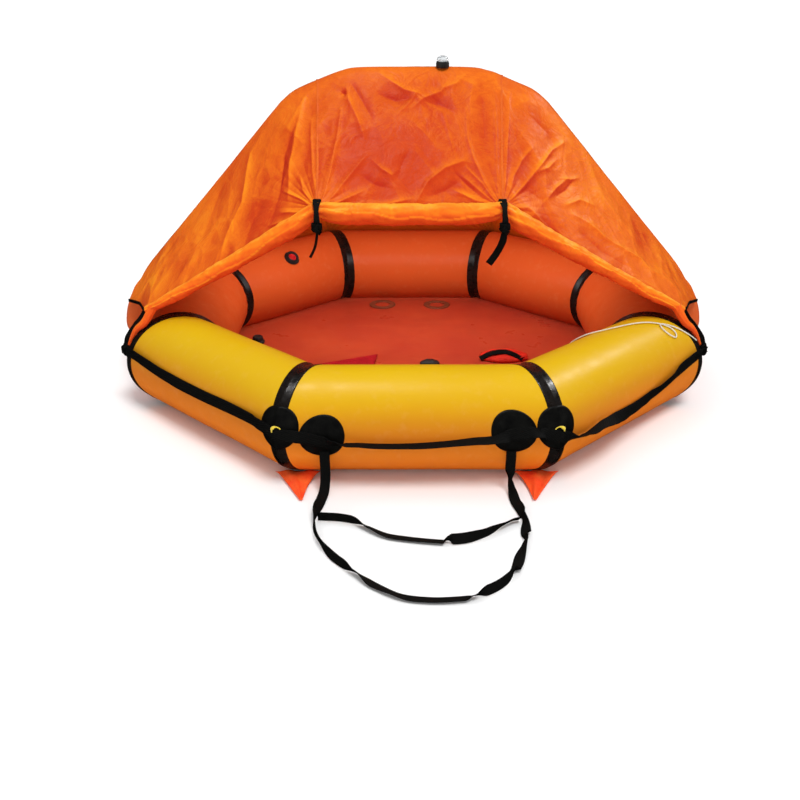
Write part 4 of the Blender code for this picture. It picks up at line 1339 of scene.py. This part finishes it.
inset = Vector((ROLL_INSET, 0, 0)) * 0.4
CORNERS = {"left": mirrored(ROLL_CORNER), "right": ROLL_CORNER}
roll_piece("rolled_door", TIE_LEFT + inset, TIE_RIGHT - inset, 0.004, 1.0, ROLL_DROP, "door_roll", 9, 1.3)
for hand, tie_place, seed in (("left", TIE_LEFT - inset, 2.1), ("right", TIE_RIGHT + inset, 5.7)):
    roll_piece("rolled_edge_" + hand, tie_place, tie_place.lerp(CORNERS[hand], 0.99), 0.006, 0.36,
               CORNER_DROP, "edge_roll_" + hand, 22, seed)
for hand, edge_corner in CORNERS.items():
    bound_corner(hand, edge_corner)

# Seam strips between the panels, and the hem's binding

SEAM_WIDTH = 0.007
SEAM_THICK = 0.0012
SEAM_LIFT = 0.0005
HEM_WIDTH = 0.011
HEM_THICK = 0.0034
ROLL_END_X = 0.862
seam_orange = thin_cloth_material("seam_cloth", (0.64, 0.090, 0.010), (0.72, 0.135, 0.010))


def seam_strip(name, line):
    """A strip sewn over the seam between two panels."""
    points = spaced(line, 0.012)
    directions = []
    lifted = []
    for k, point in enumerate(points):
        along = tangent(points, k).normalized()
        side = (AXIS_X - along * AXIS_X.dot(along)).normalized()
        up = along.cross(side).normalized()
        if up.dot(point - INSIDE) < 0:
            up = -up
        directions.append(side)
        lifted.append(point + up * SEAM_LIFT)
    add_strap(name, lifted, directions, SEAM_WIDTH, SEAM_THICK, seam_orange)


for hand, edge in (("left", 1), ("right", 0)):
    for end in ("front", "back"):
        seam_strip("seam_%s_%s" % (end, hand), cloth_edges["cloth_%s_%s" % (end, hand)][edge])


def hem_binding(name, line, step):
    points = spaced(line, step)
    add_strap(name, points, [UPRIGHT] * len(points), HEM_WIDTH, HEM_THICK, webbing_black)


for hand in ("left", "right"):
    front_line = [place for place in cloth_edges["cloth_front_" + hand][2] if abs(place.x) > ROLL_END_X]
    back_line = cloth_edges["cloth_back_" + hand][2]
    if hand == "left":
        front_line.reverse()
    else:
        back_line.reverse()
    hem_binding("hem_front_" + hand, front_line, 0.008)
    hem_binding("hem_back_" + hand, back_line, 0.010)
hem_binding("hem_back", cloth_edges["cloth_back"][2], 0.010)

# Floor


def floor_piece():
    """The floor's cloth: slack between the tubes, in shallow waves, closed below."""
    reach = math.sqrt(TUBE_R ** 2 - (AXIS_Z - FLOOR_TOP) ** 2)
    edge = APOTHEM - reach + 0.004
    rings = 60
    spokes = 192

    def spot(ring, spoke):
        turn = 2 * math.pi * spoke / spokes
        sector = (turn + HALF_TURN) % (2 * HALF_TURN) - HALF_TURN
        radius = edge / math.cos(sector) * ring / rings
        place = Vector((radius * math.cos(turn), radius * math.sin(turn), FLOOR_TOP - FLOOR_THICK))
        free = 1 - smooth(ring / rings, 0.8, 1.0)
        waves = 0.0035 * wobble(place, 3.0, 81) + 0.0016 * wobble(place, 9.0, 91)
        place.z += waves * free + 0.006 * smooth(ring / rings, 0.93, 1.0) ** 2
        return place

    points = [Vector((0, 0, FLOOR_TOP - FLOOR_THICK))]
    for ring in range(1, rings + 1):
        points += [spot(ring, spoke) for spoke in range(spokes)]
    faces = [(0, 1 + k, 1 + (k + 1) % spokes) for k in range(spokes)]
    faces += ring_faces(rings - 1, spokes, 1)
    obj = add_mesh("floor_sheet", points, faces, floor_cloth, ("raft_floor",))
    shell = obj.modifiers.new("cloth", "SOLIDIFY")
    shell.thickness = FLOOR_THICK
    shell.offset = -1


floor_piece()

RING_INNER = 0.031
RING_OUTER = 0.056


def ring_patch(name, x, y):
    """A flat ring bonded to the floor."""
    profile = [(RING_INNER, 0.0), (RING_INNER + 0.001, 0.0022), (RING_INNER + 0.006, 0.0032),
               (RING_OUTER - 0.006, 0.0032), (RING_OUTER - 0.001, 0.0022), (RING_OUTER, 0.0)]
    rows = []
    for k in range(64):
        turn = 2 * math.pi * k / 64
        rows.append([Vector((x + r * math.cos(turn), y + r * math.sin(turn), FLOOR_TOP - 0.0012 + z))
                     for r, z in profile])
    add_loft(name, rows, ring_brown, around=True)


ring_patch("floor_ring_left", -0.121, 0.612)
ring_patch("floor_ring_right", 0.111, 0.607)

# Round patches

PATCH_THICK = 0.0022
PATCH_LIP = 0.0008
PATCH_UNEVEN = 0.0004
COVER_HIGH = 0.0056
COVER_HALF = 0.021


def patch_piece(name, index, distance, angle, radius, node, strap_angle):
    """A round rubber patch with a domed cover over the strap that runs through it."""
    rings = 22
    spokes = 64
    base = TUBE_R + 0.0012
    points = []
    for ring in range(rings + 1):
        share = ring / rings
        reach = radius * share
        for k in range(spokes):
            turn = 2 * math.pi * k / spokes
            along = reach * math.cos(turn)
            up = reach * math.sin(turn)
            lift = math.degrees(up / base)
            slant = up - along * math.tan(math.radians(strap_angle))
            cover = smooth(1 - share, 0.06, 0.30)
            over = math.exp(-(slant / COVER_HALF) ** 2)
            bridge = COVER_HIGH * cover * over * (1 - 0.25 * math.cos(turn) ** 4)
            lip = PATCH_THICK + PATCH_LIP * math.exp(-((share - 0.90) / 0.05) ** 2)
            edge = math.sqrt(max(1 - smooth(share, 0.93, 1.0) ** 2, 0.0))
            rough = PATCH_UNEVEN * wobble(Vector((along * 60, up * 60, index)), 1.0, 3)
            height = (lip + bridge + rough) * edge
            points.append(ring_point(index, distance + along, angle + lift, base + height))
    faces = ring_faces(rings, spokes)
    start = len(points)
    for k in range(spokes):
        turn = 2 * math.pi * k / spokes
        lift = math.degrees(radius * math.sin(turn) / base)
        points.append(ring_point(index, distance + radius * math.cos(turn), angle + lift, base - 0.002))
    last = rings * spokes
    for k in range(spokes):
        j = (k + 1) % spokes
        faces.append((last + k, start + k, start + j, last + j))
    faces.append(tuple(range(start, start + spokes)))
    mesh = bmesh.new()
    verts = [mesh.verts.new(p) for p in points]
    for face in faces:
        mesh.faces.new([verts[i] for i in face])
    bmesh.ops.remove_doubles(mesh, verts=mesh.verts, dist=0.00001)
    bmesh.ops.recalc_face_normals(mesh, faces=mesh.faces)
    data = bpy.data.meshes.new(name)
    mesh.to_mesh(data)
    mesh.free()
    add_piece(name, data, patch_black, (node,))


BACK_PATCH_R = 0.045
patch_piece("round_patch_front_left", 0, 0, CORNER_PATCH_ANGLE, PATCH_R, "corner_patch_front_left", -8)
patch_piece("round_patch_front_right", 7, 0, CORNER_PATCH_ANGLE, PATCH_R, "corner_patch_front_right", 8)
for k, name in ((2, "left_back"), (3, "back_left"), (4, "back_right"), (5, "right_back")):
    patch_piece("round_patch_" + name, k, 0, 0, BACK_PATCH_R, "corner_patch_" + name, 0)
for hand, index, shift, angle in (("left", 0, -LADDER_PATCH_SHIFT, LADDER_PATCH_ANGLES[0]),
                                  ("right", 7, LADDER_PATCH_SHIFT, LADDER_PATCH_ANGLES[1])):
    patch_piece("round_patch_ladder_" + hand, index, shift, angle, PATCH_R, "ladder_patch_" + hand, 0)

# Ties at the door


def knot_rows(centre, axis, other, size, width, thick, phase):
    """One wrap of webbing round a knot."""
    points = []
    across = []
    steps = 26
    third = axis.cross(other).normalized()
    for k in range(steps + 1):
        turn = 2 * math.pi * k / steps * 0.98 + phase
        place = centre + (other * math.cos(turn) * size[0] + third * math.sin(turn) * size[1])
        place += axis * 0.35 * width * math.sin(turn * 0.5 + phase)
        points.append(place)
        across.append((axis + third * 0.25 * math.sin(turn)).normalized())
    return strap_rows(points, across, [width] * len(points), thick)


def add_many(name, parts, material, nodes=()):
    """Several closed lofts as one piece."""
    points = []
    faces = []
    places = []
    for rows, uv in parts:
        own_points, own_faces = loft(rows)
        shift = len(points)
        faces += [tuple(k + shift for k in face) for face in outward(own_points, own_faces)]
        points += own_points
        places += uv
    return add_mesh(name, points, faces, material, nodes, uv=places)


def strap_part(points, across, widths, thick):
    """A strap through a few points, its width read from a few values along it."""
    dense = curve_through(points, 6)
    count = len(dense)
    knots = list(enumerate(widths))
    spread = [keyed(k / (count - 1) * (len(widths) - 1), knots) for k in range(count)]
    return strap_rows(dense, [across] * count, spread, thick)


def tie_piece(name, top, tail_end, tail_width, node, curl):
    """A webbing tie over the door's roll: sewn on above it, knotted in front, with a loose tail."""
    ahead = Vector((0, -0.66, 0.60))
    down = ROLL_DROP
    front = [top - down * 0.012 + ahead * 0.0060,
             top + down * 0.002 + ahead * 0.0085,
             top + Vector((0.001, -0.030, 0.010)),
             top + Vector((0.002, -0.056, -0.008)),
             top + Vector((0.003, -0.068, -0.034)),
             top + Vector((0.003, -0.066, -0.050))]
    parts = [strap_part(front, AXIS_X, [0.026, 0.026, 0.021, 0.014, 0.018, 0.026], 0.0026)]
    sewn = [top - down * 0.014 + ahead * 0.0080, top + down * 0.004 + ahead * 0.0105]
    parts.append(strap_part(sewn, AXIS_X, [0.023, 0.023], 0.0016))
    knot = top + Vector((0.003, -0.066, -0.054))
    for shift, axis, other, size, width, thick, phase in (
            ((0, 0, 0), (0, 0.1, 1), AXIS_X, (0.015, 0.011), 0.015, 0.0032, 0.4),
            ((0.002, -0.003, -0.007), (0.5, 0.1, 0.8), Vector((0.8, 0, -0.5)),
             (0.014, 0.010), 0.013, 0.0030, 2.0),
            ((-0.002, -0.001, -0.004), (-0.6, 0.1, 0.8), Vector((0.8, 0, 0.6)),
             (0.013, 0.012), 0.012, 0.0030, 4.0)):
        axis = Vector(axis).normalized()
        parts.append(knot_rows(knot + Vector(shift), axis, other, size, width, thick, phase))
    start = knot + Vector((0, 0.002, -0.012))
    tail = [start, start.lerp(tail_end, 0.3) + Vector((0.005, -0.004, 0)) * curl,
            start.lerp(tail_end, 0.65) + Vector((0.006, 0.002, 0)) * curl, tail_end]
    parts.append(strap_part(tail, AXIS_X, [tail_width * 0.8, tail_width, tail_width, tail_width], 0.0020))
    add_many(name, parts, webbing_black, (node,))


tie_piece("door_tie_left", TIE_LEFT, Vector((-0.322, -0.425, 0.520)), 0.008, "tie_left", 1.0)
tie_piece("door_tie_right", TIE_RIGHT, Vector((0.224, -0.425, 0.500)), 0.022, "tie_right", 1.5)

# Lashings: from the canopy's bound corner over the tube's end to the knot on the lifeline

LASHING_THICK = 0.0034


def lashing_piece(name, index, cloth_corner, node, hand):
    """Straps from the bound corner down the tube's end to a knot, with a short tail."""
    forward = -1 if hand == "left" else 1
    along = (side_axes(index)[0] + side_axes(index - 1)[0]).normalized() * forward
    hem = cloth_corner + Vector((0, 0, -0.004))
    facing = Vector((0.90, -0.25, 0.37 * forward)).normalized()

    def on(distance, angle, radius):
        return front_end(hand, distance, angle, radius)

    parts = []
    for shift, high in ((-0.018, 0.002), (-0.002, 0.006)):
        path = [hem + Vector((0, 0, 0.004)) + along * shift, on(shift - 0.020, 56, 0.172 + high),
                on(shift - 0.028, 46, 0.166 + high), on(shift - 0.032, 36, 0.163 + high),
                on(shift - 0.034, 28, 0.162 + high), on(-0.040, 20, 0.163)]
        parts.append(strap_part(path, facing, [0.011, 0.014, 0.016, 0.018, 0.020, 0.024], STRAP_THICK))
    centre = on(-0.042, 15, 0.160)
    up = (on(0, 22, 0.168) - on(0, 12, 0.168)).normalized()
    out = up.cross(along).normalized()

    def leaning(share):
        return (up + along * share).normalized(), (along - up * share).normalized()

    for (axis, other), size, width, phase, shift in (
            ((up, along), (0.019, 0.012), 0.020, 0.3, 0.0),
            (leaning(0.7), (0.020, 0.012), 0.016, 1.9, 0.004),
            (leaning(-0.8), (0.020, 0.013), 0.016, 3.6, -0.004),
            ((along, up), (0.022, 0.012), 0.014, 5.0, 0.0),
            ((up, along), (0.010, 0.006), 0.026, 0.9, 0.0)):
        parts.append(knot_rows(centre + out * shift, axis, other, size, width, LASHING_THICK, phase))
    tail = [on(-0.040, 10, 0.160), on(-0.042, 0, 0.157), on(-0.040, -12, 0.156), on(-0.038, -25, 0.155)]
    parts.append(strap_part(tail, along, [0.020, 0.022, 0.020, 0.008], STRAP_THICK))
    add_many(name, parts, webbing_black, (node,))


lashing_piece("corner_lashing_left", 1, CORNERS["left"], "lashing_left", "left")
lashing_piece("corner_lashing_right", 6, CORNERS["right"], "lashing_right", "right")

# Ballast pockets

POCKET_X = 0.340
POCKET_ANGLE = -64
POCKET_REACH = 0.990
POCKET_WIDTH = 0.132
BELLY_ABOVE = 0.0045
BELLY_BELOW = 0.0025
PLEAT_HIGH = 0.0042


def pocket_piece(name, hand, end, node):
    """A limp, pleated pocket of cloth that narrows from the tube to its tip on the ground."""
    turn = math.radians(POCKET_ANGLE)
    bond_y = APOTHEM + SKIN_R * math.cos(turn) + 0.003
    bond_z = AXIS_Z + SKIN_R * math.sin(turn) - 0.002
    rows = []
    steps = 26
    for k in range(steps + 1):
        t = k / steps
        half = POCKET_WIDTH / 2 * (1 - 0.93 * t ** 0.75) * (1 - 0.10 * math.sin(math.pi * t))
        y = bond_y + (POCKET_REACH + 0.012 - bond_y) * t
        height = bond_z + (0.006 - bond_z) * smooth(t, 0.0, 0.4)
        row = []
        for side in (1, -1):
            order = [-1 + i / 8 for i in range(17)]
            for s in order if side > 0 else reversed(order[1:-1]):
                fullness = 0.3 + 0.7 * math.sin(math.pi * min(t + 0.1, 1))
                belly = (BELLY_ABOVE if side > 0 else BELLY_BELOW) * (1 - s * s) * fullness
                pleat = PLEAT_HIGH * math.sin(s * 6 + 3 * t + hand) * (1 - s * s) if side > 0 else 0
                z = height + side * (belly + 0.0008) + max(pleat, -0.002)
                lean = -0.022 * t ** 1.4
                row.append(Vector((hand * (POCKET_X + lean + s * half), end * y, max(z, 0.0008))))
        rows.append(row)
    add_loft(name, rows, pocket_cloth, (node,))


for end_name, end in (("front", -1), ("back", 1)):
    for hand_name, hand in (("left", -1), ("right", 1)):
        name = end_name + "_" + hand_name
        pocket_piece("water_pocket_" + name, hand, end, "ballast_pocket_" + name)

# Turned pieces: valves, light, gas bottle


def turned(name, profile, place, axis, material, slot, nodes=(), steps=48, dents=None):
    """A piece turned round an axis from a profile of (radius, height)."""
    axis = axis.normalized()
    first = axis.orthogonal().normalized()
    second = axis.cross(first)
    rows = []
    for radius, height in profile:
        row = []
        for k in range(steps):
            turn = 2 * math.pi * k / steps
            r = max(radius + (dents(turn, height) if dents else 0.0), 0.0002)
            row.append(place + axis * height + (first * math.cos(turn) + second * math.sin(turn)) * r)
        rows.append(row)
    add_loft(name, rows, material, nodes)


VALVE_ANGLE = 131
VALVE_BODY = ((0.004, 0), (0.031, 0), (0.0316, 0.003), (0.0300, 0.0060), (0.0275, 0.0085), (0.0262, 0.0135),
              (0.0235, 0.0155), (0.0195, 0.0140), (0.0180, 0.0080), (0.0150, 0.0062), (0.004, 0.0062))
VALVE_CAP = ((0.002, 0.005), (0.0160, 0.005), (0.0164, 0.0095), (0.0140, 0.0118), (0.0080, 0.0124),
             (0.0066, 0.0104), (0.0015, 0.0100))
valve_out = side_direction(2, VALVE_ANGLE)
valve_place = (corner(2) + corner(3)) / 2 + valve_out * (TUBE_R - 0.0005)
turned("tube_valve_body", VALVE_BODY, valve_place, valve_out, valve_black, "valve_black", ("tube_valve",))
turned("tube_valve_cap", VALVE_CAP, valve_place, valve_out, valve_red, "valve_black")

FLOOR_VALVE = Vector((-0.590, 0.149, FLOOR_TOP))
FLOOR_VALVE_AXIS = Vector((0.05, -0.1, 1))
RIBS = 12
RIB_HIGH = 0.0008
FLOOR_VALVE_BODY = ((0.004, -0.001), (0.025, -0.001), (0.0255, 0.006), (0.0245, 0.0095), (0.0195, 0.0105),
                    (0.0188, 0.012), (0.0190, 0.023), (0.0175, 0.0255), (0.0130, 0.0262), (0.0120, 0.0250),
                    (0.003, 0.0248))


def ribs(turn, height):
    """The ribs round the floor valve's grip."""
    return RIB_HIGH * math.cos(turn * RIBS) if 0.011 < height < 0.0245 else 0.0


turned("floor_valve_body", FLOOR_VALVE_BODY, FLOOR_VALVE, FLOOR_VALVE_AXIS, valve_black, "valve_black",
       ("floor_valve",), 72, ribs)

LIGHT = Vector((0.090, -0.018, ARCH_CROWN[1][1] + CLOTH_R - 0.002))
LIGHT_HEIGHT = 0.0200
LIGHT_BASE = ((0.003, -0.001), (0.0175, -0.001), (0.0205, 0.002), (0.0212, 0.005), (0.0212, 0.014),
              (0.0200, 0.0175), (0.0190, 0.0195), (0.003, 0.0195))
LIGHT_DOME = ((0.003, 0.0), (0.0182, 0.0), (0.0186, 0.004), (0.0180, 0.008), (0.0160, 0.0120),
              (0.0120, 0.0148), (0.0070, 0.0164), (0.0015, 0.0168))
turned("light_housing", LIGHT_BASE, LIGHT, UPRIGHT, valve_black, "valve_black", ("light_base",))
turned("light_dome", LIGHT_DOME, LIGHT + UPRIGHT * LIGHT_HEIGHT, UPRIGHT, lens_clear, "lens",
       ("light_lens",))

CYLINDER_R = 0.048
CYLINDER_LENGTH = 0.34
BAND_THICK = 0.003
BAND_WIDTH = 0.030
BAND_SPACING = 0.16
HEAD_LENGTH = 0.042
HOSE_R = 0.006
HOSE_X = 0.300
HOSE_ANGLE = -18
band_outer = CYLINDER_R + GAP + BAND_THICK
bottle_z = band_outer + GAP
bottle_y = APOTHEM + math.sqrt((TUBE_R + GAP + band_outer) ** 2 - (AXIS_Z - bottle_z) ** 2)
bottle_start = Vector((-CYLINDER_LENGTH / 2, bottle_y, bottle_z))


def dome(radius, start, depth, steps=8):
    """Profile points of a rounded end, from the axis out."""
    turns = [math.pi / 2 * k / steps for k in range(steps + 1)]
    return [(radius * math.sin(turn), start + depth * (1 - math.cos(turn))) for turn in turns]


NECK_R = 0.0165
shoulder = [(r, CYLINDER_LENGTH - z) for r, z in reversed(dome(CYLINDER_R, 0.012, 0.050)) if r > 0.017]
bottle_profile = dome(CYLINDER_R, 0.0, 0.030) + [(CYLINDER_R, z) for z in (0.08, 0.18, 0.26)] + shoulder
bottle_profile += [(NECK_R, CYLINDER_LENGTH - 0.013), (NECK_R, CYLINDER_LENGTH - 0.001),
                   (0.003, CYLINDER_LENGTH)]
turned("gas_bottle", bottle_profile, bottle_start, AXIS_X, grey_paint, "cylinder", ("gas_cylinder",), 64)


def flats(turn, height):
    """The six flats of the head's nut."""
    return 0.0012 * math.cos(turn * 6) if height < 0.012 else 0.0


HEAD_PROFILE = ((0.003, 0), (0.0188, 0), (0.0195, 0.001), (0.0195, 0.011), (0.0185, 0.012), (0.0145, 0.013),
                (0.0145, 0.024), (0.0152, 0.0245), (0.0152, 0.030), (0.0145, 0.0305), (0.0145, 0.038),
                (0.0125, 0.0415), (0.003, HEAD_LENGTH))
head_start = bottle_start + Vector((CYLINDER_LENGTH + GAP, 0, 0))
turned("gas_head", HEAD_PROFILE, head_start, AXIS_X, brass, "cylinder_head", ("cylinder_head",), 60, flats)
for hand, x in (("left", -BAND_SPACING / 2), ("right", BAND_SPACING / 2)):
    points = []
    for k in range(73):
        turn = 2 * math.pi * k / 72 * 0.999
        out = Vector((0, math.cos(turn), math.sin(turn)))
        points.append(Vector((x, bottle_y, bottle_z)) + out * (CYLINDER_R + 0.0014))
    add_strap("bottle_band_" + hand, points, [AXIS_X] * len(points), BAND_WIDTH, STRAP_THICK, webbing_black,
              ("cylinder_band_" + hand,))

hose_start = bottle_start + Vector((CYLINDER_LENGTH + HEAD_LENGTH + 4 * GAP, 0, 0))
hose_turn = math.radians(HOSE_ANGLE)
hose_out = Vector((0, math.cos(hose_turn), math.sin(hose_turn)))
hose_end = Vector((HOSE_X, APOTHEM, AXIS_Z)) + hose_out * (TUBE_R + 0.001)
hose_way = [hose_start, hose_start + Vector((0.018, 0, 0)),
            hose_start.lerp(hose_end, 0.5) + Vector((0.025, 0.012, 0)),
            hose_end + hose_out * 0.022, hose_end]
hose_points = curve_through(hose_way, 12)
last = len(hose_points) - 1
hose_radii = [HOSE_R * (1.28 if min(k, last - k) < 5 else 1.0) for k in range(last + 1)]
add_loft("gas_hose", tube_rows(hose_points, hose_radii, 20), hose_black, ("inflation_hose",))

# Pouch on the floor: a flat bag with soft corners and a flap

POUCH = ((-0.130, 0.012), (-0.335, -0.082), (-0.365, -0.290), (-0.165, -0.315))
POUCH_THICK = 0.018


def pouch_piece():
    """A flat bag with four corners, plump in its middle and flat below."""
    a, b, c, d = (Vector((x, y, 0)) for x, y in POUCH)
    count = 40
    points = []
    faces = []

    def spot(u, v, side):
        place = a.lerp(b, u).lerp(d.lerp(c, u), v)
        edge = min(u, 1 - u, v, 1 - v)
        plump = smooth(edge, 0.0, 0.22) ** 0.6
        lumps = 0.0022 * wobble(place, 16, 101) * smooth(edge, 0.0, 0.2)
        flap = 0.0018 if v > 0.42 and side > 0 else 0.0
        top = FLOOR_TOP + 0.002 + (POUCH_THICK - 0.004) * (0.25 + 0.75 * plump) + lumps + flap * plump
        return Vector((place.x, place.y, top if side > 0 else FLOOR_TOP + 0.0012))

    for side in (1, -1):
        for i in range(count + 1):
            for j in range(count + 1):
                points.append(spot(i / count, j / count, side))
    layer = (count + 1) ** 2
    for k, beside, across, below in grid_faces(count, count):
        faces.append((k, beside, across, below))
        faces.append((layer + k, layer + below, layer + across, layer + beside))
    border = [i * (count + 1) for i in range(count + 1)]
    border += [count * (count + 1) + j for j in range(1, count + 1)]
    border += [i * (count + 1) + count for i in range(count - 1, -1, -1)]
    border += [j for j in range(count - 1, 0, -1)]
    for k in range(len(border)):
        m = (k + 1) % len(border)
        faces.append((border[k], border[m], layer + border[m], layer + border[k]))
    add_mesh("floor_pouch", points, outward(points, faces), pouch_cloth, ("equipment_pouch",))


pouch_piece()

# Small trims that the photograph shows: line ends on the patches, a strap and red cloth on the floor


def line_end(name, index, hand):
    """A short knotted end of yellow line on a corner's patch."""
    centre = ring_point(index, 0, CORNER_PATCH_ANGLE + 1, TUBE_R + 0.0105)
    along, outside = side_axes(index if hand > 0 else index - 1)
    side = along * hand
    path = [centre + side * ahead + UPRIGHT * up + outside * out
            for ahead, up, out in ((-0.006, -0.010, 0), (-0.004, 0.002, 0.002), (0.006, 0.007, 0.002),
                                   (0.016, 0.001, 0), (0.021, -0.010, -0.002))]
    points = curve_through(path, 8)
    count = len(points) - 1
    radii = [0.0016 + 0.0030 * math.exp(-((k / count - 0.30) / 0.15) ** 2) for k in range(count + 1)]
    add_loft(name, tube_rows(points, radii, 12), yellow_cord)


line_end("line_end_left", 0, -1)
line_end("line_end_right", 7, 1)

GRAB_WIDTH = 0.025
grab = curve_through([(0.245, -0.030, FLOOR_TOP + 0.004), (0.290, -0.020, FLOOR_TOP + 0.022),
                      (0.345, -0.022, FLOOR_TOP + 0.026), (0.400, -0.040, FLOOR_TOP + 0.006)], 10)
add_strap("grab_strap", grab, [Vector((0, 0.8, 0.3))] * len(grab), GRAB_WIDTH, LADDER_THICK, webbing_black)


def bundle_piece(name, x, y, width, depth, height, material, seed):
    """A small bundle of cloth on the floor."""
    centre = Vector((x, y, FLOOR_TOP + 0.001))
    rows = []
    steps = 24
    for k in range(steps + 1):
        t = k / steps
        half = depth / 2 * math.sin(math.pi * min(max(0.06 + 0.88 * t, 0), 1)) ** 0.5
        row = []
        for i in range(28):
            turn = 2 * math.pi * i / 28
            rise = max(math.sin(turn), -0.15)
            place = Vector((centre.x + width * (t - 0.5), centre.y + half * math.cos(turn), 0))
            crease = 1 + 0.22 * wobble(Vector((t * 5, turn, seed)), 1.0, seed)
            place.z = centre.z + height * rise * crease * math.sin(math.pi * (0.08 + 0.84 * t)) ** 0.7
            row.append(place)
        rows.append(row)
    add_loft(name, rows, material)


bundle_piece("red_bundle", 0.335, 0.000, 0.17, 0.12, 0.020, red_cloth, 2.0)
bundle_piece("black_bundle", 0.060, -0.075, 0.07, 0.05, 0.018, valve_black, 5.0)

# Stage and light

STAGE_REACH = 500
STAGE_Z = -0.0006


def stage_floor():
    """A wide white ground just below the raft."""
    mesh = bpy.data.meshes.new("stage_floor")
    corners = [(x * STAGE_REACH, y * STAGE_REACH, STAGE_Z) for x, y in ((-1, -1), (1, -1), (1, 1), (-1, 1))]
    mesh.from_pydata(corners, [], [(0, 1, 2, 3)])
    material = bpy.data.materials.new("stage_white")
    material.use_nodes = True
    shader = material.node_tree.nodes["Principled BSDF"]
    shader.inputs["Base Color"].default_value = (0.94, 0.94, 0.94, 1)
    shader.inputs["Roughness"].default_value = 0.9
    shader.inputs["Specular IOR Level"].default_value = 0.1
    mesh.materials.append(material)
    obj = bpy.data.objects.new("stage_floor", mesh)
    obj.visible_glossy = False
    scene.collection.objects.link(obj)


stage_floor()


def area_light(name, place, target, size, power):
    data = bpy.data.lights.new(name, "AREA")
    data.shape = "RECTANGLE"
    data.size, data.size_y = size
    data.energy = power
    light = bpy.data.objects.new(name, data)
    scene.collection.objects.link(light)
    light.visible_camera = False
    light.location = place
    light.rotation_euler = (Vector(target) - Vector(place)).to_track_quat("-Z", "Y").to_euler()
    return light


def sun_light(name, toward, strength, spread):
    data = bpy.data.lights.new(name, "SUN")
    data.energy = strength
    data.angle = math.radians(spread)
    light = bpy.data.objects.new(name, data)
    scene.collection.objects.link(light)
    light.rotation_euler = (-Vector(toward)).to_track_quat("-Z", "Y").to_euler()
    light.visible_glossy = False


sun_light("light_key", (0.22, -0.42, 1.0), 1.90, 22)
sun_light("light_fill", (-0.25, 0.35, 1.0), 0.60, 80)
area_light("light_front", (-0.1, -4.2, 0.9), (0, 0, 0.25), (2.6, 1.0), 27).visible_glossy = False
area_light("light_inside", (0, 0.07, 0.61), (0, 0.29, 0.0), (1.08, 0.30), 5.4)
for name, place, target, size, power in (
        ("highlight_left", (-0.53, -0.7, 3.3), (-0.3, -0.85, 0.3), (0.4, 0.5), 80),
        ("highlight_right", (2.75, 1.1, 3.0), (0.36, -0.85, 0.3), (0.5, 0.5), 90)):
    area_light(name, place, target, size, power).visible_diffuse = False
world = bpy.data.worlds.new("studio")
scene.world = world
world.use_nodes = True
background = world.node_tree.nodes["Background"]
background.inputs["Color"].default_value = (1, 1, 1, 1)
background.inputs["Strength"].default_value = 0.50
world.cycles_visibility.glossy = False
scene.view_settings.view_transform = "Standard"
scene.view_settings.look = "None"
